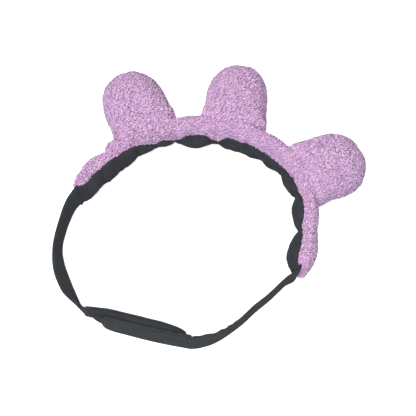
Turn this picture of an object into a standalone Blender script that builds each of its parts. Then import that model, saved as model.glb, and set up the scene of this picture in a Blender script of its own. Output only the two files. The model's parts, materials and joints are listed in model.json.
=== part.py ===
"""Spa headband: a stuffed plush crown band with three round plush puffs, a black
knit lining on the head side, two black elastic straps and a hook-and-loop
closure at the nape.

Built in metres, +Z up. The headband lies on its edge, as on a table: the ring's
axis is vertical, +Y is the front (forehead), -Y the nape and +X the wearer's right.
The origin is the bottom centre of the object's box.
"""
import math
from typing import NamedTuple

import bmesh
import bpy
from mathutils import Matrix, Vector

MM = 0.001
UP = Vector((0, 0, 1))

# ------------------------------------------------------------------ dimensions
# Sizes are in millimetres. Angles are in degrees, counter-clockwise from +X about
# the ring's centre. A path is a list of (angle, radius) stations. A strip's size is
# (width, thickness).
RING_CENTRE = (-0.49, -30.0)
MID_Z = 18.5                    # height of the crown's mid-plane above the table

# Crown band: it stands out at the right brow and is drawn in beside the left puffs.
CROWN_PATH = [(-3, 91), (20, 92), (52, 96), (72, 95), (110, 88), (135, 87.5),
              (158, 84.5), (172, 86.5), (184, 90)]
CROWN_ENDS = (CROWN_PATH[0][0], CROWN_PATH[-1][0])      # right and left
# At a tuck the lining is gathered, the band pinched and its lower edge drawn up.
# Columns: angle, tightness.
TUCKS = ((-3, 0), (20, 0.7), (40, 1), (57, 0.6), (72, 0.3), (84, 0.2), (97, 1), (120, 1),
         (131, 0.4), (143, 0.5), (156, 0.4), (168, 0.4), (184, 0))
TUCK_PINCH, TUCK_LIFT = 1.8, 4.5    # at a tightness of 1
TUCK_REACH = 4.5                # degrees
STEPS_PER_TUCK = 4              # sections from one tuck to the next
BAND_HALF_THICK = 7.3
BAND_POWER = 2.3                # superellipse power of the band's section
BROW = 75.0                     # where the band is highest
BAND_TOP = 19.5                 # half height above the mid-plane
TOP_FALL_RIGHT, TOP_FALL_LEFT = 1.5, 3.5    # how much less it is at each end
BAND_FOOT = 14.5                # half height below the mid-plane
# Where the lower edge hangs further; the band rests on the middle one.
# Columns: angle, depth, reach in degrees.
HANGS = ((8, 3.2, 28), (87, 7.3, 20), (154, 3.6, 24))
END_HALF_THICK, END_HALF_HEIGHT = 4.9, 14.0
END_TAPER = 8.0                 # degrees
LEAN_FRONT, LEAN_SIDES = 2.5, 7.0   # how far the upper edge leans outwards
LEAN_LEAST_AT = 100             # where it leans least

# Cloth and thread
PLUSH_THICK = 2.6               # plush cloth with its pile
LINING_THICK = 1.1
SEAM_GAP = 0.9                  # half the gap between two edges sewn together
THREAD_RADIUS = 0.3
SKIN_POINTS = 8                 # points round each skin of a crown panel

# Lining: its edges as shares of the half heights, high at the temples, low at the brow.
LINING_TEMPLE, LINING_BROW, LINING_FOOT = 0.6, 0.18, 0.6
LINING_RISE_RIGHT, LINING_RISE_LEFT = (66, 30), (130, 165)  # from brow to temple
LINING_RADIUS = 88.0            # ring radius that billow widths are measured on
BILLOW_LEAST = 0.4
BILLOW_SHARE = 0.1              # depth of a billow over the distance between its tucks
LINING_SHARES = (-1.0, -0.6, -0.2, 0.2, 0.6, 1.0)   # points from the foot to the top edge

# Inside the band
GATHER_ELASTIC = (6.0, 0.8)
GATHER_GAP = 0.6                # lining to elastic
WADDING_POINTS = 12
WADDING_END_GAP = 6             # degrees
WADDING_GAP = 1.1               # to the plush
WADDING_HEAD_GAP = 1.6          # beyond the lining's and the elastic's thickness
WADDING_FLOOR = PLUSH_THICK + 0.6   # lowest height above the table

# Crown seams
SEAM_STATIONS = 48
SEAM_END_GAP = 0.6              # degrees
LINING_SEAM_DEPTH = 0.9         # thread inside the band's face on the head side

# Puffs
PUFF_MID_Z = 21.0
PUFF_DEPTH = 42.0               # along Z
PUFF_POWER = 2.15               # superellipse power of a puff's section
PUFF_ROOT_DEPTH = 0.66          # depth at the root as a share of the full depth
PUFF_RELIEF = 25.0              # the root's faces slope away so a puff can nod
PUFF_GAP = 0.7                  # root face to the crown's crest
PUFF_CLOSE = 0.998              # share of the length at which the tip is closed
PUFF_TIP_HALF_WIDTH, PUFF_TIP_HALF_DEPTH = 0.9, 0.5     # the least they may be
PUFF_ROWS, PUFF_RIM_ROWS = 10, 14       # stations from root to tip
PUFF_PANEL_POINTS, PUFF_FILLING_POINTS = 9, 14
CREST_REACH, CREST_POINTS = 22, 45      # degrees of crest followed each side of a puff
FILLING_GAP, FILLING_ROOT_GAP = 0.6, 1.2
RIM_ROOT_GAP = 0.6


class Puff(NamedTuple):
    name: str
    angle: float        # of the root on the crown
    turn: float         # of the puff's axis from radial
    length: float       # from the crown's crest to the tip
    width: float        # at the widest
    root: float         # width at the root
    widest: float       # share of the length where it is widest
    blunt: tuple        # powers of the share and of the size in the tip's curve


PUFFS = (
    Puff("left", angle=134.0, turn=-2.5, length=56.0, width=54.0, root=46.0,
         widest=0.45, blunt=(2.3, 2.1)),
    Puff("middle", angle=90.5, turn=6.0, length=58.0, width=52.5, root=48.5,
         widest=0.4, blunt=(2.4, 2.2)),
    Puff("right", angle=48.0, turn=1.5, length=50.0, width=56.0, root=48.0,
         widest=0.45, blunt=(2.4, 2.3)),
)

# Straps: the left one from the crown to the pad's corner, the right one from under
# the tab to the crown.
LEFT_STRAP_PATH = [CROWN_PATH[-1], (192, 93), (200, 95.5), (210, 99), (220, 100.5),
                   (230, 101.5), (240, 102), (245.5, 101)]
RIGHT_STRAP_PATH = [(-65, 92.8), (-60, 92), (-55, 91.3), (-50, 89.7), (-40, 86), (-30, 83),
                    (-20, 83.8), (-10, 86.5), CROWN_PATH[0]]
LEFT_STRAP_STATIONS, RIGHT_STRAP_STATIONS = 28, 24
STRAP = (25.0, 2.6)             # the casing
STRAP_WALL = 0.5                # the casing's cloth
STRAP_ELASTIC = (22.4, 0.8)     # in the casing
STRAP_RADIUS = 92.0             # ring radius on which gaps are turned into degrees
STRAP_MID_Z = 13.8
STRAP_DROP = 28.0               # degrees from the crown until a strap rests on the table
CORNER_RISE, CORNER_REACH = 2.6, 12     # rise of the left strap over its last degrees
LEFT_TWIST = (203, 228)         # the left strap twists between these angles,
LEFT_LEAN, LEFT_TWIST_LEAN = 1.0, 21.0  # from the first lean to the second,
SEAM_LEAN, SEAM_REACH = 8.0, 13.0   # and back to the pad seam's lean over its last degrees
RIGHT_LEAN_TAB, RIGHT_LEAN = 2.0, 8.0   # at the tab, and from RIGHT_LEAN_REACH on
RIGHT_LEAN_REACH = 14
FOLD_GAP = 2.2                  # between two sewn pieces that fold

# Strap ends sewn into the crown, and the thread round them
ANCHOR = (18.0, 1.4)
ANCHOR_IN, ANCHOR_OUT = 6.0, 1.4    # how far it reaches into and out of the plush
END_STITCH_GAP = 0.2            # thread to the anchor
END_STITCH_OUT = 0.3            # thread to the crown's end

# Closure: pad, loop tape, hook tape and tab, from the head side outwards
PAD_START, PAD_FINISH = LEFT_STRAP_PATH[-1], (296.5, 89)    # the pad path's corners
PAD_HEADINGS = (6, 14)          # directions, from +X, at those corners
PAD_PATH_STATIONS = 17
PAD_LEAN = (247, 258, SEAM_LEAN, -1.0)  # between two angles, from one lean to another
PAD_ENDS, TAB_ENDS = (247.0, 293.0), (252.0, 295.3)
PAD_MID_Z, TAB_MID_Z = 17.4, 13.5
PAD = (34.0, 1.6)
LOOP_TAPE = (30.0, 0.7)
HOOK_TAPE = (20.0, 0.7)
TAB = (25.0, 1.4)
LOOP_TAPE_INSETS, HOOK_TAPE_INSETS = (2, 1.5), (1.5, 3.5)   # degrees, left and right end
LAYER_GAP = 0.3
LAYER_STATIONS = (248, 294, 24)     # first angle, last angle, count
LAYER_END_GAP = 0.7             # least degrees from a layer's end to a shared station
STITCH_MARGIN, STITCH_GAP = 2.0, 0.15   # from the strip's edge, and off its face

# how far the middle of each layer lies outside the pad's middle
LOOP_OFFSET = PAD[1] / 2 + LAYER_GAP + LOOP_TAPE[1] / 2
HOOK_OFFSET = LOOP_OFFSET + LOOP_TAPE[1] / 2 + LAYER_GAP + HOOK_TAPE[1] / 2
TAB_OFFSET = HOOK_OFFSET + HOOK_TAPE[1] / 2 + LAYER_GAP + TAB[1] / 2

# where the straps start and end
FOLD_DEGREES = math.degrees(FOLD_GAP / STRAP_RADIUS)
ANCHOR_DEGREES = math.degrees(ANCHOR_OUT / STRAP_RADIUS)
LEFT_START = CROWN_ENDS[1] + ANCHOR_DEGREES + FOLD_DEGREES
LEFT_END = PAD_START[0]
RIGHT_START = TAB_ENDS[1] - 360 + FOLD_DEGREES
RIGHT_END = CROWN_ENDS[0] - ANCHOR_DEGREES - FOLD_DEGREES


# --------------------------------------------------------- scene and materials
def clear_scene():
    for o in list(bpy.data.objects):
        bpy.data.objects.remove(o, do_unlink=True)


def material(name, colour, roughness):
    made = bpy.data.materials.new(name)
    made.use_nodes = True
    shader = made.node_tree.nodes["Principled BSDF"]
    shader.inputs["Base Color"].default_value = (*colour, 1.0)
    shader.inputs["Roughness"].default_value = roughness
    made.diffuse_color = (*colour, 1.0)
    return made


clear_scene()
PARTS = bpy.data.collections.new("spa_headband")
bpy.context.scene.collection.children.link(PARTS)

LILAC = material("lilac_plush", colour=(0.53, 0.34, 0.53), roughness=0.95)
BLACK_KNIT = material("black_knit", colour=(0.05, 0.054, 0.062), roughness=0.85)
BLACK_ELASTIC = material("black_elastic", colour=(0.03, 0.03, 0.034), roughness=0.75)
LOOP = material("loop_pile", colour=(0.045, 0.047, 0.052), roughness=0.95)
HOOK = material("hook_tape", colour=(0.02, 0.02, 0.023), roughness=0.5)
FIBRE = material("fibre_fill", colour=(0.85, 0.85, 0.83), roughness=0.9)
LILAC_THREAD = material("lilac_thread", colour=(0.45, 0.28, 0.46), roughness=0.7)
BLACK_THREAD = material("black_thread", colour=(0.015, 0.015, 0.018), roughness=0.6)


# ---------------------------------------------------------------------- curves
def spread(first, last, count):
    return [first + (last - first) * i / (count - 1) for i in range(count)]


def ease(x):
    """0 to 1 with a soft start and end."""
    x = min(max(x, 0.0), 1.0)
    return x * x * (3 - 2 * x)


def from_to(angle, start, end, first, last):
    """Ease from the first value to the last between two angles."""
    return first + (last - first) * ease((angle - start) / (end - start))


def hermite(first, first_slope, last, last_slope, t):
    """Cubic from one value to another, with its slope at each end."""
    return (first * (2 * t**3 - 3 * t**2 + 1) + first_slope * (t**3 - 2 * t**2 + t)
            + last * (3 * t**2 - 2 * t**3) + last_slope * (t**3 - t**2))


def direction(degrees):
    return Vector((math.cos(math.radians(degrees)), math.sin(math.radians(degrees))))


def rounded(value, power):
    """Superellipse form of a sine or cosine."""
    return math.copysign(abs(value) ** (2 / power), value)


def oval(phase, half_thick, half_height):
    """Point of the band's oval section: phase 0 is the outer crest, pi/2 the upper edge."""
    return (half_thick * rounded(math.cos(phase), BAND_POWER),
            half_height * rounded(math.sin(phase), BAND_POWER))


def phase_at(height, half_height):
    return math.asin(min(1.0, abs(height) / half_height) ** (BAND_POWER / 2))


# ------------------------------------------------------------- paths and frames
class Frame(NamedTuple):
    """Local axes of a section: out across the thickness, up across the width."""
    centre: Vector
    out: Vector
    up: Vector
    along: Vector       # counter-clockwise round the ring

    def at(self, out, up):
        return self.centre + self.out * out + self.up * up

    def moved(self, centre):
        return self._replace(centre=centre)


def span_index(stations, angle):
    """Index of the station that starts the span holding an angle."""
    before = max(i for i, station in enumerate(stations) if station[0] <= angle)
    return min(before, len(stations) - 2)


def radius_at(path, angle):
    """Path radius by a Catmull-Rom cubic."""
    final = len(path) - 1
    angle = min(max(angle, path[0][0]), path[-1][0])
    i = span_index(path, angle)
    span = path[i + 1][0] - path[i][0]

    def slope(k):
        before, after = path[max(k - 1, 0)], path[min(k + 1, final)]
        return (after[1] - before[1]) / (after[0] - before[0])

    return hermite(path[i][1], span * slope(i), path[i + 1][1], span * slope(i + 1),
                   (angle - path[i][0]) / span)


def path_point(path, angle):
    radius = radius_at(path, angle)
    turn = math.radians(angle)
    return Vector((RING_CENTRE[0] + radius * math.cos(turn),
                   RING_CENTRE[1] + radius * math.sin(turn), 0))


def path_frame(path, angle, mid_z, lean):
    """Frame on a path; lean is how far its up axis tips outwards."""
    step = 0.25
    before = path_point(path, max(angle - step, path[0][0]))
    after = path_point(path, min(angle + step, path[-1][0]))
    along = (after - before).normalized()
    normal = Vector((along.y, -along.x, 0))
    tip = math.radians(lean)
    return Frame(path_point(path, angle) + UP * mid_z,
                 normal * math.cos(tip) - UP * math.sin(tip),
                 UP * math.cos(tip) + normal * math.sin(tip),
                 along)


# ------------------------------------------------------------------- modelling
def add(name, mesh, mat):
    o = bpy.data.objects.new(name, mesh)
    PARTS.objects.link(o)
    mesh.materials.append(mat)
    mesh.shade_smooth()
    mesh.set_sharp_from_angle(angle=math.radians(40))
    return o


def add_closed(name, bm, mat):
    """Object from a closed bmesh, with its faces turned outwards."""
    bmesh.ops.recalc_face_normals(bm, faces=bm.faces)
    if bm.calc_volume(signed=True) < 0:
        bmesh.ops.reverse_faces(bm, faces=bm.faces)
    mesh = bpy.data.meshes.new(name)
    bm.to_mesh(mesh)
    bm.free()
    add(name, mesh, mat)


def add_loops(bm, loops):
    return [[bm.verts.new(point * MM) for point in loop] for loop in loops]


def bridge(bm, first, second):
    """Quads between two closed loops of vertices."""
    for i in range(len(first)):
        j = (i + 1) % len(first)
        bm.faces.new((first[i], first[j], second[j], second[i]))


def loft(name, sections, mat):
    """A closed solid through equal-length section loops, capped at both ends."""
    bm = bmesh.new()
    rows = add_loops(bm, sections)
    for first, second in zip(rows, rows[1:]):
        bridge(bm, first, second)
    bm.faces.new(rows[0])
    bm.faces.new(list(reversed(rows[-1])))
    bmesh.ops.triangulate(bm, faces=[f for f in bm.faces if len(f.verts) > 4])
    add_closed(name, bm, mat)


def ribbon(name, rows, thick, mat):
    """A flat strip: an open grid laid through rows of points, with Solidify."""
    x_segments, y_segments = len(rows[0]) - 1, len(rows) - 1
    bm = bmesh.new()
    bmesh.ops.create_grid(bm, x_segments=x_segments, y_segments=y_segments, size=1.0)
    for vert in bm.verts:
        column = round((vert.co.x + 1) / 2 * x_segments)
        row = round((vert.co.y + 1) / 2 * y_segments)
        vert.co = rows[row][column] * MM
    mesh = bpy.data.meshes.new(name)
    bm.to_mesh(mesh)
    bm.free()
    solidify = add(name, mesh, mat).modifiers.new("thickness", "SOLIDIFY")
    solidify.thickness = thick * MM
    solidify.offset = 0.0
    solidify.use_even_offset = True


def strip(name, frames, size, mat):
    """A ribbon of a (width, thickness) size along frames."""
    width, thick = size
    rows = [[frame.at(0, up) for up in spread(-width / 2, width / 2, 3)] for frame in frames]
    ribbon(name, rows, thick, mat)


def cord(name, points, mat, closed=False):
    """A thread: a poly curve with a round bevel, capped if it is open."""
    curve = bpy.data.curves.new(name, "CURVE")
    curve.dimensions = "3D"
    curve.bevel_depth = THREAD_RADIUS * MM
    curve.bevel_resolution = 0
    curve.use_fill_caps = not closed
    spline = curve.splines.new("POLY")
    spline.points.add(len(points) - 1)
    for spline_point, point in zip(spline.points, points):
        spline_point.co = (*(point * MM), 1.0)
    spline.use_cyclic_u = closed
    curve.materials.append(mat)
    PARTS.objects.link(bpy.data.objects.new(name, curve))


def box_outline(frame, half_thick, half_width):
    """Six points round a strip's section, two of them at mid-width."""
    corners = ((1, -1), (1, 0), (1, 1), (-1, 1), (-1, 0), (-1, -1))
    return [frame.at(half_thick * out, half_width * up) for out, up in corners]


# ----------------------------------------------------------------- crown shape
# In this section side is above 0 for the part over the mid-plane, else for the part
# under it.
def end_share(angle):
    """0 at the crown's ends to 1 past their taper."""
    return ease((min(angle - CROWN_ENDS[0], CROWN_ENDS[1] - angle)) / END_TAPER)


def tightness(angle):
    return max(tight * math.exp(-((angle - tuck) / TUCK_REACH) ** 2) for tuck, tight in TUCKS)


def crown_half_thick(angle):
    full = BAND_HALF_THICK - TUCK_PINCH * tightness(angle)
    return END_HALF_THICK + (full - END_HALF_THICK) * end_share(angle)


def crown_half_height(angle, side):
    if side > 0:
        right = angle < BROW
        end, fall = (CROWN_ENDS[0], TOP_FALL_RIGHT) if right else (CROWN_ENDS[1], TOP_FALL_LEFT)
        full = BAND_TOP - fall * ((angle - BROW) / (end - BROW)) ** 2
    else:
        full = (BAND_FOOT - TUCK_LIFT * tightness(angle)
                + sum(depth * max(0.0, 1 - ((angle - centre) / reach) ** 2) ** 2
                      for centre, depth, reach in HANGS))
    return END_HALF_HEIGHT + (full - END_HALF_HEIGHT) * end_share(angle)


def crown_frame(angle):
    sideways = (1 - math.cos(math.radians(2 * (angle - LEAN_LEAST_AT)))) / 2
    lean = LEAN_FRONT + (LEAN_SIDES - LEAN_FRONT) * sideways
    return path_frame(CROWN_PATH, angle, MID_Z, lean)


def crest_point(angle):
    """Outermost point of the crown's section."""
    return crown_frame(angle).at(crown_half_thick(angle), 0)


def lining_height(angle, side):
    """Distance of the lining's upper or lower edge from the mid-plane."""
    share = LINING_FOOT
    if side > 0:
        climb = (from_to(angle, *LINING_RISE_RIGHT, 0, 1)
                 + from_to(angle, *LINING_RISE_LEFT, 0, 1))
        share = LINING_BROW + (LINING_TEMPLE - LINING_BROW) * climb
    return share * crown_half_height(angle, side)


def head_face(angle, height):
    """The oval's head side at a height from the mid-plane, as an out coordinate."""
    half_height = crown_half_height(angle, height)
    return -oval(phase_at(height, half_height), crown_half_thick(angle), half_height)[0]


def billow(angle):
    """How far the lining stands towards the head between two tucks."""
    i = span_index(TUCKS, angle + 1e-6)
    start, end = TUCKS[i][0], TUCKS[i + 1][0]
    x = (2 * angle - start - end) / (end - start)
    return BILLOW_LEAST + BILLOW_SHARE * math.radians(end - start) * LINING_RADIUS * (1 - x * x)


CROWN_ANGLES = [start + (end - start) * k / STEPS_PER_TUCK
                for (start, _), (end, _) in zip(TUCKS, TUCKS[1:])
                for k in range(STEPS_PER_TUCK)] + [CROWN_ENDS[1]]
WADDING_ANGLES = [a for a in CROWN_ANGLES
                  if CROWN_ENDS[0] + WADDING_END_GAP < a < CROWN_ENDS[1] - WADDING_END_GAP]


def crown_loft(name, section, mat, angles=CROWN_ANGLES, floors=()):
    """Solid along the crown; floors are the lowest heights of the section's points."""
    sections = []
    for angle in angles:
        frame = crown_frame(angle)
        loop = [frame.at(out, up) for out, up in section(angle)]
        for point, floor in zip(loop, floors):
            point.z = max(point.z, floor)
        sections.append(loop)
    loft(name, sections, mat)


# ---------------------------------------------------------------- crown pieces
def panel_section(side):
    def section(angle):
        thick, height = crown_half_thick(angle), crown_half_height(angle, side)
        rim = phase_at(SEAM_GAP, height)
        lining = math.pi - phase_at(lining_height(angle, side) + SEAM_GAP, height)
        phases = spread(rim, lining, SKIN_POINTS)
        outer = [oval(phase, thick, height) for phase in phases]
        inner = [oval(phase, thick - PLUSH_THICK, height - PLUSH_THICK) for phase in phases]
        # both skins of the cloth end at the same height
        for end in (0, -1):
            inner[end] = (inner[end][0], outer[end][1])
        return [(out, side * up) for out, up in outer + inner[::-1]]
    return section


def crown_panels():
    """Plush covers: the front one is the upper half, the back one the lower half."""
    crown_loft("crown_front_panel", panel_section(1), LILAC)
    # the plush lies flat where the band rests on its edge
    crown_loft("crown_back_panel", panel_section(-1), LILAC,
               floors=[0.0] * SKIN_POINTS + [PLUSH_THICK] * SKIN_POINTS)


def lining_section(angle):
    top = lining_height(angle, 1) - SEAM_GAP
    foot = -lining_height(angle, -1) + SEAM_GAP
    middle, half = (top + foot) / 2, (top - foot) / 2
    face = []
    for share in LINING_SHARES:
        up = middle + share * half
        face.append((head_face(angle, up) - billow(angle) * (1 - share * share), up))
    back = [(out + LINING_THICK, up) for out, up in face]
    return face + back[::-1]


def inner_lining():
    crown_loft("inner_lining", lining_section, BLACK_KNIT)


def wadding_section(angle):
    inset = PLUSH_THICK + WADDING_GAP
    thick = crown_half_thick(angle)
    head_side = -(thick - LINING_THICK - GATHER_ELASTIC[1] - WADDING_HEAD_GAP)
    section = []
    for i in range(WADDING_POINTS):
        phase = 2 * math.pi * i / WADDING_POINTS
        height = crown_half_height(angle, math.sin(phase))
        out, up = oval(phase, thick - inset, height - inset)
        section.append((max(out, head_side), up))
    return section


def band_wadding():
    crown_loft("band_wadding", wadding_section, FIBRE, WADDING_ANGLES,
               floors=[WADDING_FLOOR] * WADDING_POINTS)


def gather_elastic():
    """Elastic inside the lining, midway between its edges."""
    width, thick = GATHER_ELASTIC
    depth = LINING_THICK + GATHER_GAP + thick / 2
    rows = []
    for angle in WADDING_ANGLES:
        frame = crown_frame(angle)
        middle = (lining_height(angle, 1) - lining_height(angle, -1)) / 2
        rows.append([frame.at(-crown_half_thick(angle) + depth, middle + up)
                     for up in (-width / 2, width / 2)])
    ribbon("gather_elastic", rows, thick, BLACK_ELASTIC)


def rim_point(angle):
    return crown_half_thick(angle) - PLUSH_THICK / 2, 0.0


def lining_edge(side):
    def point(angle):
        up = side * lining_height(angle, side)
        return head_face(angle, up) + LINING_SEAM_DEPTH, up
    return point


def crown_seams():
    angles = spread(CROWN_ENDS[0] + SEAM_END_GAP, CROWN_ENDS[1] - SEAM_END_GAP, SEAM_STATIONS)
    for name, point, mat in (("crown_rim_seam", rim_point, LILAC_THREAD),
                             ("upper_lining_seam", lining_edge(1), BLACK_THREAD),
                             ("lower_lining_seam", lining_edge(-1), BLACK_THREAD)):
        cord(name, [crown_frame(angle).at(*point(angle)) for angle in angles], mat)


# ---------------------------------------------------------------------- puffs
def puff_frame(puff):
    """Hinge point on the crown's crest, the puff's axis, its width direction."""
    out = crown_frame(puff.angle).out
    crest = crest_point(puff.angle)
    turn = Matrix.Rotation(math.radians(puff.turn), 3, "Z")
    axis = turn @ Vector((out.x, out.y, 0)).normalized()
    return Vector((crest.x, crest.y, PUFF_MID_Z)), axis, Vector((-axis.y, axis.x, 0))


def crest_line(puff):
    """The crown's crest beside the puff's root, as (across, along axis) pairs."""
    base, axis, across = puff_frame(puff)
    offsets = [crest_point(angle) - base for angle in
               spread(puff.angle - CREST_REACH, puff.angle + CREST_REACH, CREST_POINTS)]
    return sorted((offset.dot(across), offset.dot(axis)) for offset in offsets)


def crest_at(crest, x):
    for (x0, y0), (x1, y1) in zip(crest, crest[1:]):
        if x0 <= x <= x1:
            return y0 + (y1 - y0) * (x - x0) / max(x1 - x0, 1e-9)
    return crest[0][1] if x < crest[0][0] else crest[-1][1]


def puff_halves(puff, share):
    """Half width and half depth of the puff at a share of its length."""
    if share < puff.widest:
        rise = math.sin(share / puff.widest * math.pi / 2)
        root = puff.root / puff.width
        across = root + (1 - root) * rise
        deep = PUFF_ROOT_DEPTH + (1 - PUFF_ROOT_DEPTH) * rise
    else:
        fall, close = puff.blunt
        past = (share - puff.widest) / (1 - puff.widest)
        across = deep = (1 - past ** fall) ** (1 / close)
    return puff.width / 2 * across, PUFF_DEPTH / 2 * deep


def puff_shares(count):
    """Shares of the length from root to tip, closer together towards the tip."""
    return [math.sin(math.pi / 2 * i / (count - 1)) * PUFF_CLOSE for i in range(count)]


def puff_rows(puff, inset, phases, least_z=0.0, root_gap=0.0):
    """Rows of points on a puff's surface, set in by inset, from root to tip."""
    base, axis, across = puff_frame(puff)
    crest = crest_line(puff)
    relief = math.tan(math.radians(PUFF_RELIEF))
    rows = []
    for share in puff_shares(PUFF_ROWS):
        half_width, half_depth = puff_halves(puff, share)
        half_width = max(half_width - inset, PUFF_TIP_HALF_WIDTH)
        half_depth = max(half_depth - inset, least_z + PUFF_TIP_HALF_DEPTH)
        row = []
        for phase in phases:
            x = half_width * rounded(math.cos(phase), PUFF_POWER)
            sine = math.sin(phase)
            z = math.copysign(
                least_z + (half_depth - least_z) * abs(rounded(sine, PUFF_POWER)), sine)
            start = crest_at(crest, x) + PUFF_GAP + relief * abs(z) + root_gap
            y = start + (puff.length - inset - start) * share
            row.append(base + axis * y + across * x + UP * z)
        rows.append(row)
    return rows


def puff_panel(puff, label, side):
    """Half of the puff's plush cover, above or below its rim seam."""
    phases = [side * v for v in spread(0.0001, math.pi - 0.0001, PUFF_PANEL_POINTS)]
    outer = puff_rows(puff, 0.0, phases, SEAM_GAP)
    inner = puff_rows(puff, PLUSH_THICK, phases, SEAM_GAP)
    loft(f"puff_{puff.name}_{label}_panel", [o + i[::-1] for o, i in zip(outer, inner)], LILAC)


def puff_filling(puff):
    phases = [2 * math.pi * k / PUFF_FILLING_POINTS for k in range(PUFF_FILLING_POINTS)]
    rows = puff_rows(puff, PLUSH_THICK + FILLING_GAP, phases, root_gap=FILLING_ROOT_GAP)
    loft(f"puff_{puff.name}_filling", rows, FIBRE)


def puff_rim_seam(puff):
    """Thread round the puff at its mid-depth, from root over the tip to root."""
    base, axis, across = puff_frame(puff)
    crest = crest_line(puff)
    edge = [(share, max(puff_halves(puff, share)[0] - PLUSH_THICK / 2, 0.0))
            for share in puff_shares(PUFF_RIM_ROWS)]
    line = []
    for share, x in [(share, -x) for share, x in edge] + edge[::-1]:
        start = crest_at(crest, x) + PUFF_GAP + RIM_ROOT_GAP
        y = start + (puff.length - PLUSH_THICK / 2 - start) * share
        line.append(base + axis * y + across * x)
    cord(f"puff_{puff.name}_rim_seam", line, LILAC_THREAD)


def build_puff(puff):
    puff_panel(puff, "front", 1)
    puff_panel(puff, "back", -1)
    puff_filling(puff)
    puff_rim_seam(puff)


# --------------------------------------------------------------------- straps
def left_lean(angle):
    return (from_to(angle, *LEFT_TWIST, LEFT_LEAN, LEFT_TWIST_LEAN)
            + from_to(angle, LEFT_END - SEAM_REACH, LEFT_END, 0.0, SEAM_LEAN - LEFT_TWIST_LEAN))


def left_mid_z(angle):
    """Down to the table after the crown, and up a little where it turns into the pad."""
    return (from_to(angle, CROWN_ENDS[1], CROWN_ENDS[1] + STRAP_DROP, MID_Z, STRAP_MID_Z)
            + from_to(angle, LEFT_END - CORNER_REACH, LEFT_END, 0.0, CORNER_RISE))


def right_lean(angle):
    return from_to(angle, RIGHT_START, RIGHT_START + RIGHT_LEAN_REACH, RIGHT_LEAN_TAB, RIGHT_LEAN)


def right_mid_z(angle):
    return from_to(angle, CROWN_ENDS[0] - STRAP_DROP, CROWN_ENDS[0], STRAP_MID_Z, MID_Z)


def strap_casing(name, frames):
    """A flat tube of cloth, open at both ends."""
    half_width, half_thick = STRAP[0] / 2, STRAP[1] / 2
    bm = bmesh.new()
    outer, inner = (
        add_loops(bm, [box_outline(frame, half_thick - wall, half_width - wall)
                       for frame in frames])
        for wall in (0.0, STRAP_WALL))
    for skin in (outer, inner):
        for first, second in zip(skin, skin[1:]):
            bridge(bm, first, second)
    for end in (0, -1):
        bridge(bm, outer[end], inner[end])
    add_closed(name, bm, BLACK_KNIT)


def build_strap(label, path, lean, mid_z, angles):
    frames = [path_frame(path, angle, mid_z(angle), lean(angle)) for angle in angles]
    strap_casing(f"{label}_strap_casing", frames)
    strip(f"{label}_strap_elastic", frames, STRAP_ELASTIC, BLACK_ELASTIC)


def strap_anchor(label, end, sign):
    """A strap end sewn into the crown, and the thread round it."""
    frame = crown_frame(end)
    away = frame.along * sign
    strip(f"{label}_strap_anchor",
          [frame.moved(frame.centre - away * ANCHOR_IN),
           frame.moved(frame.centre + away * ANCHOR_OUT)], ANCHOR, BLACK_KNIT)
    clear = END_STITCH_GAP + THREAD_RADIUS
    stitched = frame.moved(frame.centre + away * (END_STITCH_OUT + THREAD_RADIUS))
    cord(f"{label}_end_stitching",
         box_outline(stitched, ANCHOR[1] / 2 + clear, ANCHOR[0] / 2 + clear),
         LILAC_THREAD, closed=True)


# -------------------------------------------------------------------- closure
def pad_path():
    """Stations of a smooth curve from corner to corner of the pad's path."""
    start, finish = (direction(angle) * radius for angle, radius in (PAD_START, PAD_FINISH))
    pulls = [direction(heading) * (finish - start).length for heading in PAD_HEADINGS]
    stations = []
    for t in spread(0, 1, PAD_PATH_STATIONS):
        point = hermite(start, pulls[0], finish, pulls[1], t)
        angle = math.degrees(math.atan2(point.y, point.x))
        while angle < PAD_START[0] - 1:
            angle += 360
        stations.append((angle, point.length))
    return stations


PAD_PATH = pad_path()


def layer_frames(ends, offset, mid_z):
    """Frames of one layer of the closure: all layers share their inner stations."""
    first, last = ends
    inner = [angle for angle in spread(*LAYER_STATIONS)
             if first + LAYER_END_GAP < angle < last - LAYER_END_GAP]
    frames = [path_frame(PAD_PATH, angle, PAD_MID_Z, from_to(angle, *PAD_LEAN))
              for angle in (first, *inner, last)]
    return [frame.moved(frame.at(offset, mid_z - PAD_MID_Z)) for frame in frames]


def inset_ends(ends, insets):
    return ends[0] + insets[0], ends[1] - insets[1]


def edge_stitching(name, frames, size, side):
    """A closed thread set in from a strip's edges, off its outer (1) or head (-1) face."""
    half = size[0] / 2 - STITCH_MARGIN
    lift = side * (size[1] / 2 + THREAD_RADIUS + STITCH_GAP)
    inner = frames[1:-1]
    line = [frame.at(lift, half) for frame in inner]
    line += [frame.at(lift, -half) for frame in inner[::-1]]
    cord(name, line, BLACK_THREAD, closed=True)


def loop_side():
    pad = layer_frames(PAD_ENDS, 0.0, PAD_MID_Z)
    strip("loop_pad", pad, PAD, BLACK_KNIT)
    tape = layer_frames(inset_ends(PAD_ENDS, LOOP_TAPE_INSETS), LOOP_OFFSET, PAD_MID_Z)
    strip("loop_tape", tape, LOOP_TAPE, LOOP)
    edge_stitching("pad_stitching", pad, PAD, -1)


def hook_side():
    tab = layer_frames(TAB_ENDS, TAB_OFFSET, TAB_MID_Z)
    strip("hook_tab", tab, TAB, BLACK_KNIT)
    tape = layer_frames(inset_ends(TAB_ENDS, HOOK_TAPE_INSETS), HOOK_OFFSET, TAB_MID_Z)
    strip("hook_tape", tape, HOOK_TAPE, HOOK)
    edge_stitching("tab_stitching", tab, TAB, 1)


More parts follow.
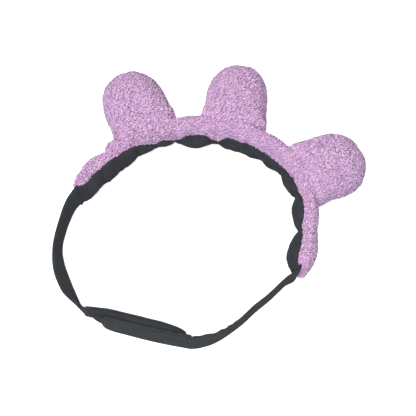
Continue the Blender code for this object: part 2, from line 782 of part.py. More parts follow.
# ----------------------------------------------------------------------- build
crown_panels()
inner_lining()
band_wadding()
gather_elastic()
crown_seams()
for each_puff in PUFFS:
    build_puff(each_puff)
build_strap("left", LEFT_STRAP_PATH, left_lean, left_mid_z,
            spread(LEFT_START, LEFT_END, LEFT_STRAP_STATIONS))
build_strap("right", RIGHT_STRAP_PATH, right_lean, right_mid_z,
            spread(RIGHT_START, RIGHT_END, RIGHT_STRAP_STATIONS))
strap_anchor("left", CROWN_ENDS[1], 1)
strap_anchor("right", CROWN_ENDS[0], -1)
loop_side()
hook_side()
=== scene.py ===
"""Looks of the spa headband: plush band and puffs, gathered dark lining, straps and the
hook-and-loop closure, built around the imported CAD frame.

The headband is a ring standing on z = 0 with its axis along +Z. The band runs round the
+Y side, the three puffs stick out from it, and the straps meet at the closure on the -Y
side. The left strap is at -X and the right strap at +X. Lengths are in mm (scaled to
metres as meshes are made); angles are degrees anticlockwise from +X round the ring.
"""

import json
import math
from collections import namedtuple
from types import SimpleNamespace

import bmesh
import bpy
import numpy as np
from mathutils import Matrix, Vector
from mathutils.bvhtree import BVHTree


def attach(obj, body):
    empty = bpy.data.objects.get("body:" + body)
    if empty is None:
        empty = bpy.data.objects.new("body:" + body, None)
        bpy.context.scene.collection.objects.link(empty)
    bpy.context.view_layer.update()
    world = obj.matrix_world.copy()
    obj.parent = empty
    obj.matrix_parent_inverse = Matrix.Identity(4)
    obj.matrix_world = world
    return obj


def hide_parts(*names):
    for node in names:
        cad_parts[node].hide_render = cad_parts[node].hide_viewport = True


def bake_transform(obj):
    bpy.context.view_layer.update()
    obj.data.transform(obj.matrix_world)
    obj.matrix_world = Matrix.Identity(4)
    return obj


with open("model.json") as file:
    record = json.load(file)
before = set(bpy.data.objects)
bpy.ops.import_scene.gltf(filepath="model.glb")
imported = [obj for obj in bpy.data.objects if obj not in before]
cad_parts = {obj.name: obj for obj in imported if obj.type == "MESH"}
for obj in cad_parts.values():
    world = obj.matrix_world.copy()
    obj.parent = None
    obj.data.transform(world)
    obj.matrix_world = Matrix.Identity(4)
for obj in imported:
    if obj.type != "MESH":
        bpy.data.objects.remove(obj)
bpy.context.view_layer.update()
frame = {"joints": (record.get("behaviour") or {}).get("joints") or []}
RNG = np.random.default_rng(20)
MM = 0.001
UP = np.array([0.0, 0.0, 1.0])
JOINTS = {joint["name"]: joint for joint in frame["joints"]}


def joint_at(name):
    return np.array(JOINTS[name]["pos_m"], float) / MM


# ------------------------------------------------------------------ dimensions
# The numbers the CAD is drawn with, and the details it leaves out. Where a piece lies is
# measured on the CAD further down.
MID_Z = 18.5
CROWN_LO, CROWN_HI = -3.0, 184.0         # the band's right and left ends
LEFT_END_RADIUS, SEWN_TO_FOLD = 90.0, 2.5
LEFT_END_SLOPE = (LEFT_END_RADIUS - 86.5) / 12      # mm of radius per degree
SECTION_POWER = 2.3                      # superellipse exponent of the band and puffs
BAND_HALF_THICK, END_HALF_THICK, END_TAPER = 7.3, 4.9, 8.0
LEAN_FRONT, LEAN_SIDES = 2.5, 7.0        # how far the band's top leans outwards

# The lining's tucks: angle, tightness.
TUCKS = ((-3, 0), (20, 0.7), (40, 1), (57, 0.6), (72, 0.3), (84, 0.2), (97, 1), (120, 1),
         (131, 0.4), (143, 0.5), (156, 0.4), (168, 0.4), (184, 0))
TUCK_PINCH, TUCK_REACH = 1.8, 4.5
TUCK_RADIUS = 88.0                       # where the gap between tucks is measured
BILLOW_LEAST, BILLOW_SHARE = 0.4, 0.13   # mm, and share of the gap between tucks
# Heights of the lining's edges, as shares of the band's half height.
LINING_TEMPLE, LINING_BROW, LINING_FOOT = 0.56, 0.15, 0.85
LINING_RISES = (66, 30), (130, 165)      # the top edge climbs from the first to the second

# Bumps along the band: angle, height, half width.
BROW_BILLOW = ((108.5, 2.2, 10), (154, 1.2, 9), (66, 0.8, 8))
LINING_DROPS = ((97, 0.42, 7), (120, 0.42, 8), (132, 0.28, 12), (40, 0.2, 6), (20, 0.15, 6))
LUMPS = ((7, 2.0, 10), (34, 1.2, 7), (70, 1.4, 8), (110, 1.8, 9), (148.5, -2.6, 3),
         (153.5, 3.2, 5), (159.5, -3.2, 3), (168, 2.8, 8))

PUFFS = ("puff_left", "puff_middle", "puff_right")
PUFF_HALF_DEPTH = 21.0
PUFF_CENTRE = 0.47                       # of the puff's length, from its hinge
PUFF_CLEAR = 16.5                        # degrees from a puff to where the band is bare

PILE_HEIGHT = 1.6                        # how far the pile stands off its backing
START_INSET = PILE_HEIGHT + 1.0          # of the bodies, before they swell
SWELL, LINED_SWELL = 1.7, 0.3            # the most a point may move in swelling

LEFT_END, RIGHT_START = 245.5, -63.33    # the straps' ends at the closure
PAD_WIDTH, PAD_THICK, PAD_MID_Z = 34.0, 1.7, 17.4
PAD_ENDS, PAD_CHORD = (247.0, 293.0), (248.5, 291.5)
TAB_WIDTH, TAB_THICK, TAB_MID_Z = 25.0, 1.5, 13.5
TAB_ENDS = (252.0, 295.3)
LOOP_OFF, HOOK_OFF, TAB_OFF = 1.25, 2.45, 3.8       # outwards from the pad's middle


# --------------------------------------------------------------- curve helpers
def cubic(pairs, soft=False):
    """Smooth function through (x, y) pairs: monotone, or Catmull-Rom if soft."""
    xs, ys = np.array(pairs, float).T
    step = np.diff(xs)
    slope = np.diff(ys) / step
    tangent = np.empty(len(xs))
    if soft:
        tangent[1:-1] = (ys[2:] - ys[:-2]) / (xs[2:] - xs[:-2])
    else:
        before, after = slope[:-1], slope[1:]
        total = np.where(before + after == 0, 1, before + after)
        tangent[1:-1] = np.where(before * after > 0, 2 * before * after / total, 0)
    tangent[0], tangent[-1] = slope[0], slope[-1]

    def at(x):
        x = np.clip(np.asarray(x, float), xs[0], xs[-1])
        i = np.clip(np.searchsorted(xs, x, side="right") - 1, 0, len(xs) - 2)
        t = (x - xs[i]) / step[i]
        return ((2 * t**3 - 3 * t**2 + 1) * ys[i]
                + (t**3 - 2 * t**2 + t) * step[i] * tangent[i]
                + (-2 * t**3 + 3 * t**2) * ys[i + 1]
                + (t**3 - t**2) * step[i] * tangent[i + 1])
    return at


def ease(x):
    x = np.clip(x, 0.0, 1.0)
    return x * x * (3 - 2 * x)


def signed_power(x, power):
    return np.sign(x) * np.abs(x) ** power


def unit(vectors):
    return vectors / np.linalg.norm(vectors, axis=-1, keepdims=True)


def column(values):
    return np.asarray(values, float)[:, None]


def direction(angle):
    """Horizontal unit vector at one angle."""
    return np.array([math.cos(math.radians(angle)), math.sin(math.radians(angle)), 0.0])


def arc_length(line):
    """Length along a line of points, at each point."""
    return np.concatenate([[0], np.cumsum(np.linalg.norm(np.diff(line, axis=0), axis=1))])


def bumps(angle, features):
    """Sum of smooth bumps, each an (angle, height, half width)."""
    return sum(height * np.clip(1 - ((angle - centre) / half) ** 2, 0, 1) ** 2
               for centre, height, half in features)


def tightness(angle):
    return np.max([tight * np.exp(-((angle - at) / TUCK_REACH) ** 2) for at, tight in TUCKS],
                  axis=0)


def thick_at(angle):
    full = BAND_HALF_THICK - TUCK_PINCH * tightness(angle)
    inwards = ease(np.minimum(angle - CROWN_LO, CROWN_HI - angle) / END_TAPER)
    return END_HALF_THICK + (full - END_HALF_THICK) * inwards


def lean_at(angle):
    turned = (1 - np.cos(np.radians(2 * (angle - 100)))) / 2
    return LEAN_FRONT + (LEAN_SIDES - LEAN_FRONT) * turned


def between_tucks(angle):
    """0 at the tucks and 1 midway between two of them, and that gap in mm."""
    at = np.array([tuck[0] for tuck in TUCKS], float)
    i = np.clip(np.searchsorted(at, angle, side="right") - 1, 0, len(at) - 2)
    x = np.clip((2 * angle - at[i] - at[i + 1]) / (at[i + 1] - at[i]), -1, 1)
    return 1 - x * x, np.radians(at[i + 1] - at[i]) * TUCK_RADIUS


def billow_at(angle):
    full, gap = between_tucks(angle)
    return BILLOW_LEAST + BILLOW_SHARE * gap * full + bumps(angle, BROW_BILLOW)


def lining_top_at(angle):
    right, left = LINING_RISES
    climb = (ease((right[0] - angle) / (right[0] - right[1]))
             + ease((angle - left[0]) / (left[1] - left[0])))
    return (LINING_BROW + (LINING_TEMPLE - LINING_BROW) * climb
            + 0.1 * (between_tucks(angle)[0] - 0.5) - bumps(angle, LINING_DROPS))


def lining_foot_at(angle):
    return -LINING_FOOT * (1 - 0.32 * tightness(angle))


# Cross-section frames along a path: outward normal, leaning up direction, tangent.
Frames = namedtuple("Frames", "middle normal up tangent")


def path_frames(radius, lean, height, angle):
    """Frames at each angle of a path given by its radius and lean functions."""
    def at(angle):
        turn = np.radians(angle)
        return np.stack([radius(angle) * np.cos(turn), radius(angle) * np.sin(turn),
                         0 * angle], 1)
    tangent = unit(at(angle + 0.2) - at(angle - 0.2))
    level = np.stack([tangent[:, 1], -tangent[:, 0], 0 * angle], 1)
    tilt = np.radians(lean(angle))
    return Frames(middle=at(angle) + UP * column(height * np.ones(len(angle))),
                  normal=level * column(np.cos(tilt)) - UP * column(np.sin(tilt)),
                  up=UP * column(np.cos(tilt)) + level * column(np.sin(tilt)),
                  tangent=tangent)


def swept(frames, out, rise):
    """Points (frame, k, 3) at the outward and upward offsets from each frame."""
    return (frames.middle[:, None] + frames.normal[:, None] * out[..., None]
            + frames.up[:, None] * rise[..., None])


# --------------------------------------------------------- measured on the CAD
# the ring's centre follows from the joint at the crown's left end
_end = path_frames(lambda angle: LEFT_END_RADIUS + LEFT_END_SLOPE * (angle - CROWN_HI),
                   lean_at, MID_Z, np.array([CROWN_HI]))
RING = joint_at("left_strap_swing") - (_end.middle[0] + _end.tangent[0] * SEWN_TO_FOLD)
RING[2] = 0.0
RAY_OUTSIDE, RAY_INSIDE = 175, 40        # radii from which rays are cast at the CAD


def cad_points(node):
    mesh = bpy.data.objects[node].data
    flat = np.empty(len(mesh.vertices) * 3)
    mesh.vertices.foreach_get("co", flat)
    return flat.reshape(-1, 3) / MM


def cad_tree(node):
    return BVHTree.FromPolygons([Vector(point) for point in cad_points(node)],
                                [tuple(face.vertices)
                                 for face in bpy.data.objects[node].data.polygons])


def angles_of(points, low=-120):
    """Angles of points round the ring, counted from low."""
    away = points - RING
    return (np.degrees(np.arctan2(away[:, 1], away[:, 0])) - low) % 360 + low


def ring_hit(tree, angle, z, outside):
    """Distance from the ring's axis to the first surface met along an angle."""
    ray = direction(angle)
    start = RING + UP * z + ray * (RAY_OUTSIDE if outside else RAY_INSIDE)
    hit = tree.ray_cast(Vector(start), Vector(-ray if outside else ray))[0]
    return None if hit is None else float(np.linalg.norm((np.array(hit) - RING)[:2]))


def measure_band():
    """Mid-line radius and half heights of the crown, as functions of the angle."""
    tree = cad_tree("crown_front_panel")
    top, foot = cad_points("crown_front_panel"), cad_points("crown_back_panel")
    top_angle, foot_angle = angles_of(top, -60), angles_of(foot, -60)
    radius, above, below = [], [], []
    for angle in np.linspace(CROWN_LO + 1.0, CROWN_HI - 1.0, 48):
        outer = ring_hit(tree, angle, MID_Z + 2.5, True)
        if outer is None:
            continue
        upright = math.cos(math.radians(float(lean_at(angle))))
        highest = top[np.abs(top_angle - angle) < 4, 2].max()
        lowest = foot[np.abs(foot_angle - angle) < 4, 2].min()
        radius.append((angle, outer - float(thick_at(angle))))
        above.append((angle, (highest - MID_Z) / upright))
        below.append((angle, (MID_Z - lowest) / upright))
    return cubic(radius, True), cubic(above), cubic(below)


def measure_strip(node, angles, ahead=(), after=()):
    """Radius, lean and middle height of a strip's CAD solid along angles; ahead and
    after are (angle, radius, lean, height) rows that carry it on at its ends."""
    reach = 8.0                          # mm above and below the mid-line of the two rays
    tree, points = cad_tree(node), cad_points(node)
    point_angle = angles_of(points, angles[0] - 30)
    found = []
    for angle in angles:
        near = np.abs(point_angle - angle) < 3.0
        heights = points[near if near.sum() > 3 else slice(None), 2]
        z = (heights.min() + heights.max()) / 2
        radii = []
        for offset in (-reach, reach):
            pair = [ring_hit(tree, angle, z + offset, side) for side in (True, False)]
            if None in pair:
                break
            radii.append(sum(pair) / 2)
        if len(radii) == 2:
            lean = math.degrees(math.atan2(radii[1] - radii[0], 2 * reach))
            found.append((angle, sum(radii) / 2, lean, z))
    found = [*ahead, *found, *after]
    return [cubic([(row[0], row[k]) for row in found], soft=k == 1) for k in (1, 2, 3)]


radius_at, top_at, foot_at = measure_band()
_lean = float(lean_at(CROWN_HI))
left_path, left_lean, left_z = measure_strip(
    "left_strap_casing", np.linspace(188, 244.5, 18),
    ahead=[(181, float(radius_at(181)), _lean, MID_Z),
           (185, LEFT_END_RADIUS, _lean - 1.5, MID_Z)])
right_path, right_lean, right_z = measure_strip(
    "right_strap_casing", np.linspace(-62.4, -8, 18),
    after=[(-4, float(radius_at(CROWN_LO)), LEAN_SIDES, MID_Z),
           (0, float(radius_at(0)), LEAN_SIDES, MID_Z)])
pad_radius, pad_lean, _ = measure_strip("loop_pad", np.linspace(248, 292, 12))


def pad_path(angle):
    """The pad hangs between two points of its CAD solid, bowed as that is midway."""
    first, last = (float(pad_radius(end)) * direction(end)[:2] for end in PAD_CHORD)
    chord = last - first
    normal = unit(np.array([chord[1], -chord[0]]))

    def straight(angle):
        turn = np.radians(angle)
        return first @ normal / (np.cos(turn) * normal[0] + np.sin(turn) * normal[1])
    start, end = PAD_CHORD
    middle = (start + end) / 2
    x = (np.asarray(angle, float) - start) / (end - start)
    return straight(angle) + 4 * x * (1 - x) * (float(pad_radius(middle)) - straight(middle))


def ring_frames(radius, lean, height, angle):
    frames = path_frames(radius, lean, height, angle)
    return frames._replace(middle=frames.middle + RING)


def crown_frames(angle):
    return ring_frames(radius_at, lean_at, MID_Z, angle)


def crown_half(angle):
    """Half thickness outwards, half thickness inwards, half heights up and down,
    tapering to a soft end at both ends of the band."""
    end = np.minimum(np.clip((angle - CROWN_LO + 0.6) / 3.2, 0, 1),
                     np.clip((CROWN_HI + 0.6 - angle) / 3.2, 0, 1))
    full = np.sqrt(np.clip(1 - (1 - end) ** 2, 0, 1))
    thick = thick_at(angle)
    return ((thick + bumps(angle, LUMPS)) * (0.35 + 0.65 * full), thick * (0.35 + 0.65 * full),
            top_at(angle) * (0.6 + 0.4 * full), foot_at(angle) * (0.6 + 0.4 * full))


def section_share(rise, half_height):
    """Share of the band's half thickness left at a height of its section."""
    inside = np.clip(1 - (np.abs(rise) / half_height) ** SECTION_POWER, 0, 1)
    return inside ** (1 / SECTION_POWER)


def band_offsets(points):
    """Angle, outward and upward offsets of points from the band's mid-line."""
    angle = angles_of(points)
    frames = crown_frames(np.clip(angle, CROWN_LO, CROWN_HI))
    away = points - frames.middle
    return angle, (away * frames.normal).sum(1), (away * frames.up).sum(1)


def under_lining(points, margin):
    angle, out, rise = band_offsets(points)
    top = lining_top_at(angle) * top_at(angle)
    return (out < 0) & (rise < top - margin) & (angle > CROWN_LO) & (angle < CROWN_HI)


# ---------------------------------------------------------------- mesh helpers
def new_object(name, verts, faces, smooth=True):
    """Mesh object from mm coordinates; faces is an (n, 3 or 4) array or a list."""
    mesh = bpy.data.meshes.new(name)
    verts = np.asarray(verts, np.float32) * np.float32(MM)
    if isinstance(faces, np.ndarray):
        mesh.vertices.add(len(verts))
        mesh.vertices.foreach_set("co", verts.ravel())
        mesh.loops.add(faces.size)
        mesh.loops.foreach_set("vertex_index", faces.ravel().astype(np.int32))
        mesh.polygons.add(len(faces))
        starts = np.arange(0, faces.size, faces.shape[1], dtype=np.int32)
        mesh.polygons.foreach_set("loop_start", starts)
        mesh.update(calc_edges=True)
        mesh.validate()
    else:
        mesh.from_pydata([tuple(map(float, vert)) for vert in verts], [], faces)
        mesh.update()
    if smooth:
        mesh.polygons.foreach_set("use_smooth", np.ones(len(mesh.polygons), bool))
    return linked(name, mesh)


def linked(name, data):
    obj = bpy.data.objects.new(name, data)
    bpy.context.scene.collection.objects.link(obj)
    return obj


def coords(obj):
    flat = np.empty(len(obj.data.vertices) * 3)
    obj.data.vertices.foreach_get("co", flat)
    return flat.reshape(-1, 3) / MM


def set_coords(obj, points):
    obj.data.vertices.foreach_set("co", (points * MM).ravel().astype(np.float32))
    obj.data.update()


def normals(obj):
    flat = np.empty(len(obj.data.vertices) * 3)
    obj.data.vertices.foreach_get("normal", flat)
    return flat.reshape(-1, 3)


def tube_faces(count, around):
    """Quads of count closed rings of around points each."""
    i, j = np.meshgrid(np.arange(count - 1), np.arange(around), indexing="ij")
    j2 = (j + 1) % around
    return np.stack([i * around + j, i * around + j2,
                     (i + 1) * around + j2, (i + 1) * around + j], -1).reshape(-1, 4)


def capped(name, rings):
    """A closed tube through rings, (m, k, 3) mm, each end fanned to its middle."""
    count, around = rings.shape[:2]
    verts = np.concatenate([rings.reshape(-1, 3), rings[:1].mean(1), rings[-1:].mean(1)])
    quads = [tuple(map(int, face)) for face in tube_faces(count, around)]
    first, last = count * around, count * around + 1
    start = (count - 1) * around
    fans = [(j, first, (j + 1) % around) for j in range(around)]
    fans += [(start + (j + 1) % around, last, start + j) for j in range(around)]
    obj = new_object(name, verts, quads + fans)
    bm = bmesh.new()
    bm.from_mesh(obj.data)
    bmesh.ops.recalc_face_normals(bm, faces=bm.faces)
    if bm.calc_volume(signed=True) < 0:
        bmesh.ops.reverse_faces(bm, faces=bm.faces)
    bm.to_mesh(obj.data)
    bm.free()
    return obj


def joined(objects, name):
    """One object from the meshes of several, which are removed."""
    bm = bmesh.new()
    for obj in objects:
        old = obj.data
        bm.from_mesh(old)
        bpy.data.objects.remove(obj)
        bpy.data.meshes.remove(old)
    mesh = bpy.data.meshes.new(name)
    bm.to_mesh(mesh)
    bm.free()
    return linked(name, mesh)


def apply_modifiers(obj):
    bpy.context.view_layer.update()
    graph = bpy.context.evaluated_depsgraph_get()
    mesh = bpy.data.meshes.new_from_object(obj.evaluated_get(graph))
    obj.modifiers.clear()
    old = obj.data
    obj.data = mesh
    bpy.data.meshes.remove(old)


def modified(obj, kind, **settings):
    """Adds one modifier with its settings and applies it."""
    modifier = obj.modifiers.new(kind.lower(), kind)
    for key, value in settings.items():
        setattr(modifier, key, value)
    apply_modifiers(obj)


def lattice_noise(points, scale, seed):
    """Smooth value noise in -1..1 at points (mm), with features of about scale mm."""
    place = points / scale + np.array([17.3, 41.7, 29.1]) * (seed % 97)
    cell = np.floor(place).astype(np.int64)
    part = place - cell
    part = part * part * (3 - 2 * part)
    total = np.zeros(len(points))
    for corner in np.ndindex(2, 2, 2):
        keys = (cell + np.array(corner)) * np.array([73856093, 19349663, 83492791])
        value = keys[:, 0] ^ keys[:, 1] ^ keys[:, 2] ^ (seed * 2654435)
        value = (value * 1103515245 + 12345) & 0x7FFFFFFF
        value = ((value >> 7) ^ value) % 65521 / 65521.0
        share = np.where(corner, part, 1 - part)
        total += share[:, 0] * share[:, 1] * share[:, 2] * (value * 2 - 1)
    return total


# ------------------------------------------------------------------- materials
def srgb(*channels):
    """Linear colour from 0-255 sRGB channels."""
    def one(value):
        value /= 255
        return value / 12.92 if value <= 0.04045 else ((value + 0.055) / 1.055) ** 2.4
    return (*map(one, channels), 1.0)


def feed(socket, value):
    """Links a socket into another, or sets its value."""
    if hasattr(value, "links"):
        socket.id_data.links.new(value, socket)
    else:
        socket.default_value = value


class Cloth:
    """A Principled material and the nodes that feed it."""

    def __init__(self, name, roughness, sheen=0.0, tint=(1, 1, 1, 1), specular=0.25):
        self.material = bpy.data.materials.new(name)
        self.material.use_nodes = True
        self.tree = self.material.node_tree
        self.inputs = self.tree.nodes["Principled BSDF"].inputs
        self.inputs["Roughness"].default_value = roughness
        self.inputs["Specular IOR Level"].default_value = specular
        if sheen:
            self.inputs["Sheen Weight"].default_value = sheen
            self.inputs["Sheen Roughness"].default_value = 0.6
            self.inputs["Sheen Tint"].default_value = tint

    def node(self, kind, **settings):
        node = self.tree.nodes.new("ShaderNode" + kind)
        for key, value in settings.items():
            setattr(node, key, value)
        return node

    def position(self):
        return self.node("NewGeometry").outputs["Position"]

    def vector_maths(self, operation, vector):
        node = self.node("VectorMath", operation=operation)
        feed(node.inputs[0], vector)
        return node

    def separate(self, vector):
        node = self.node("SeparateXYZ")
        feed(node.inputs[0], vector)
        return node.outputs

    def noise(self, vector, scale, detail, roughness=0.55, stretch=None):
        node = self.node("TexNoise")
        node.inputs["Scale"].default_value = scale
        node.inputs["Detail"].default_value = detail
        node.inputs["Roughness"].default_value = roughness
        if stretch:
            mapping = self.node("Mapping")
            mapping.inputs["Scale"].default_value = stretch
            feed(mapping.inputs["Vector"], vector)
            vector = mapping.outputs["Vector"]
        feed(node.inputs["Vector"], vector)
        return node.outputs["Fac"]

    def diagonal_wave(self, vector, scale, **values):
        node = self.node("TexWave", wave_type="BANDS", bands_direction="DIAGONAL")
        node.inputs["Scale"].default_value = scale
        for key, value in values.items():
            node.inputs[key].default_value = value
        feed(node.inputs["Vector"], vector)
        return node.outputs["Fac"]

    def ramp(self, factor, stops, mode="LINEAR"):
        """Colour ramp through (position, colour) stops."""
        node = self.node("ValToRGB")
        node.color_ramp.interpolation = mode
        elements = node.color_ramp.elements
        while len(elements) < len(stops):
            elements.new(0.5)
        for element, (position, colour) in zip(elements, stops):
            element.position = position
            element.color = colour
        feed(node.inputs["Fac"], factor)
        return node.outputs["Color"]

    def mix(self, factor, first, second, blend="MIX"):
        node = self.node("Mix", data_type="RGBA", blend_type=blend)
        for index, value in ((0, factor), (6, first), (7, second)):
            feed(node.inputs[index], value)
        return node.outputs[2]

    def product(self, first, second):
        return self.mix(1.0, first, second, blend="MULTIPLY")

    def maths(self, operation, *values):
        node = self.node("Math", operation=operation)
        for socket, value in zip(node.inputs, (*values, 0.0)):
            feed(socket, value)
        return node.outputs[0]

    def bump(self, height, strength, depth):
        """Bump of a depth in mm."""
        node = self.node("Bump")
        node.inputs["Strength"].default_value = strength
        node.inputs["Distance"].default_value = depth * MM
        feed(node.inputs["Height"], height)
        feed(self.inputs["Normal"], node.outputs["Normal"])

    def colour(self, socket):
        feed(self.inputs["Base Color"], socket)


UV = "OFBake"
TILES = 32                               # yarns along each side of the tufts' map
WARM_DYES = [srgb(*dye) for dye in (
    (224, 178, 216), (242, 220, 238), (212, 158, 204), (198, 144, 190),
    (230, 196, 226), (186, 134, 182), (216, 174, 212), (234, 206, 230))]
# Greyer violet yarns, darker than the warm ones: some stand at random among them, and more
# gather at the puffs' rims and on steep faces as painted shade.
COOL_AND_SHADE_DYES = [srgb(*dye) for dye in (
    (172, 152, 192), (150, 148, 186), (188, 168, 204), (162, 128, 172),
    (196, 182, 212), (138, 138, 178), (198, 160, 200), (176, 168, 202))]
MEAN_DYE = srgb(198, 162, 199)           # the yarns are drawn halfway towards this
PLUSH_SHEEN = srgb(240, 225, 240)
# Stops that multiply a colour: position, factor for each channel.
# Along each tuft: painted shade at the root, where the tufts cover each other, gone by the
# tip.
ROOT_SHADE_TO_TIP = [(0.0, (0.79, 0.75, 0.8, 1)), (0.5, (0.93, 0.92, 0.94, 1)),
               (1.0, (1.02, 1.02, 1.02, 1))]
FIBRES = [(0.3, (0.93, 0.92, 0.94, 1)), (0.7, (1.03, 1.03, 1.03, 1))]
GROUND_GRAIN = [(0.3, (0.8, 0.8, 0.82, 1)), (0.7, (1.1, 1.1, 1.1, 1))]
KNIT_GRAIN = [(0.25, (0.82, 0.82, 0.83, 1)), (0.75, (1.14, 1.15, 1.15, 1))]


def yarn_material():
    """Plush yarn: every tile of the tufts' map is one yarn with its own dye, painted darker at
    the root as the shade where the tufts cover each other, with fine fibres running along it."""
    cloth = Cloth("lilac_yarn", roughness=0.95, sheen=0.25, tint=PLUSH_SHEEN)
    uv = cloth.node("UVMap", uv_map=UV)
    scale = cloth.vector_maths("SCALE", uv.outputs["UV"])
    scale.inputs["Scale"].default_value = TILES
    scaled = scale.outputs[0]
    tile = cloth.vector_maths("FLOOR", scaled).outputs[0]
    inside = cloth.vector_maths("FRACTION", scaled).outputs[0]
    pick = cloth.node("TexWhiteNoise", noise_dimensions="2D")
    feed(pick.inputs["Vector"], tile)
    warm, cool_and_shade = (cloth.ramp(pick.outputs["Value"],
                             [(i / len(dyes), dye) for i, dye in enumerate(dyes)], "CONSTANT")
                  for dyes in (WARM_DYES, COOL_AND_SHADE_DYES))
    # the cool half of the map: greyer yarns, also used as painted shade at rims and steep
    # faces
    is_cool_and_shade = cloth.maths("GREATER_THAN", cloth.separate(tile)["X"], TILES / 2 - 0.5)
    dyed_and_shaded = cloth.mix(0.5, cloth.mix(is_cool_and_shade, warm, cool_and_shade), MEAN_DYE)
    # painted shade at each tuft's root, fading out towards its tip
    dyed_and_shaded = cloth.product(dyed_and_shaded, cloth.ramp(cloth.separate(inside)["Y"], ROOT_SHADE_TO_TIP))
    fibre = cloth.noise(scaled, scale=1.0, detail=2.0, roughness=0.5, stretch=(9.0, 1.6, 1.0))
    cloth.colour(cloth.product(dyed_and_shaded, cloth.ramp(fibre, FIBRES)))
    return cloth.material


def shaded_backing_material():
    """The knitted ground under the pile, seen between the tufts: mottled, and painted a darker
    mauve as the shade between the tufts.
    """
    cloth = Cloth("lilac_ground_shaded", roughness=0.95, sheen=0.2, tint=PLUSH_SHEEN)
    position = cloth.position()
    blot = cloth.noise(position, scale=900.0, detail=3.0)
    fine = cloth.noise(position, scale=2600.0, detail=2.0)
    # darker than the yarns: painted shade between the tufts, mottled at random
    mottle = cloth.ramp(blot, [(0.3, srgb(150, 116, 152)), (0.5, srgb(176, 134, 172)),
                               (0.7, srgb(196, 156, 194))])
    cloth.colour(cloth.product(mottle, cloth.ramp(fine, GROUND_GRAIN)))
    cloth.bump(fine, strength=0.5, depth=0.5)
    return cloth.material


def knit_material(name, dark, light, bump, roughness=0.9, sheen=0.12):
    """Smooth dark knit: fine ribs, a little mottling, a soft bloom at grazing angles."""
    cloth = Cloth(name, roughness=roughness, sheen=sheen, tint=srgb(150, 158, 166))
    position = cloth.position()
    broad = cloth.noise(position, scale=160.0, detail=3.0)
    fine = cloth.noise(position, scale=1500.0, detail=2.0, stretch=(1.0, 1.0, 1.0))
    ribs = cloth.diagonal_wave(position, scale=1400.0, Distortion=1.2, Detail=1.0)
    grain = cloth.maths("MULTIPLY_ADD", fine, 0.6, cloth.maths("MULTIPLY", ribs, 0.4))
    mottle = cloth.ramp(broad, [(0.3, srgb(*dark)), (0.7, srgb(*light))])
    cloth.colour(cloth.product(mottle, cloth.ramp(grain, KNIT_GRAIN)))
    cloth.bump(grain, strength=bump, depth=0.25)
    # roughness varies by 0.06 either way
    feed(cloth.inputs["Roughness"], cloth.maths("MULTIPLY_ADD", fine, 0.12, roughness - 0.06))
    return cloth.material


def thread_material():
    """Twisted sewing thread: fine slanting plies."""
    cloth = Cloth("dark_thread", roughness=0.65, sheen=0.2)
    plies = cloth.diagonal_wave(cloth.position(), scale=3000.0)
    cloth.colour(cloth.ramp(plies, [(0.2, srgb(30, 32, 35)), (0.8, srgb(46, 48, 52))]))
    cloth.bump(plies, strength=0.5, depth=0.1)
    return cloth.material


YARN, SHADED_GROUND = yarn_material(), shaded_backing_material()
LINING_CLOTH = knit_material("lining_knit", dark=(34, 36, 40), light=(48, 50, 55), bump=0.4)
STRAP_CLOTH = knit_material("strap_knit", dark=(36, 38, 42), light=(48, 51, 54), bump=0.35)
TAB_CLOTH = knit_material("tab_knit", dark=(36, 38, 41), light=(46, 49, 52), bump=0.35)
LOOP_CLOTH = knit_material("loop_pile", dark=(32, 34, 37), light=(42, 45, 48), bump=0.8)
HOOKS = knit_material("hook_tape", dark=(28, 29, 32), light=(40, 42, 45), bump=0.5,
                      roughness=0.55, sheen=0.0)
DARK_THREAD = thread_material()


def dress(obj, material):
    obj.data.materials.clear()
    obj.data.materials.append(material)
    return obj


# ------------------------------------------------------- plush: band and puffs
PUFF_TURN = np.radians(np.arange(96) * 360 / 96)       # round a puff, from its axis
PUFF_FOLDED = np.abs((PUFF_TURN + np.pi) % (2 * np.pi) - np.pi)     # the same, 0 to pi


def puff_outline(tree, puff):
    """Outline radius of a puff's CAD cover about its centre, every few degrees from its
    axis; behind the root's corners it runs on into the band."""
    outline = np.full(len(PUFF_TURN), np.nan)
    for i, turn in enumerate(PUFF_TURN):
        ray = puff.axis * math.cos(turn) + puff.across * math.sin(turn)
        start = puff.centre + UP * 1.5 + ray * 90
        hit = tree.ray_cast(Vector(start), Vector(-ray))[0]
        if hit is not None:
            outline[i] = np.linalg.norm((np.array(hit) - puff.centre)[:2])
    back = puff.length * PUFF_CENTRE
    inside = np.minimum((back + 7) / np.maximum(-np.cos(PUFF_FOLDED), 0.3), 41.0)
    outline = np.where(PUFF_FOLDED > math.radians(134), inside, outline)
    known = ~np.isnan(outline)
    outline = np.interp(PUFF_TURN, PUFF_TURN[known], outline[known], period=2 * np.pi)
    for _ in range(3):
        outline = (np.roll(outline, 1) + 2 * outline + np.roll(outline, -1)) / 4
    return outline


def measure_puff(name):
    """Where a puff lies: its axis points away from the hinge, across runs along it."""
    hinge = joint_at(f"{name}_nod")
    across = unit(np.array(JOINTS[f"{name}_nod"]["axis"], float))
    axis = np.array([across[1], -across[0], 0.0])
    length = ((cad_points(f"{name}_front_panel") - hinge) @ axis).max()
    away = hinge - RING
    angle = math.degrees(math.atan2(away[1], away[0]))
    puff = SimpleNamespace(hinge=hinge, axis=axis, across=across, length=length, angle=angle,
                           centre=hinge + axis * length * PUFF_CENTRE, out=direction(angle))
    puff.outline = puff_outline(cad_tree(f"{name}_front_panel"), puff)
    return puff


PUFF_AT = {name: measure_puff(name) for name in PUFFS}


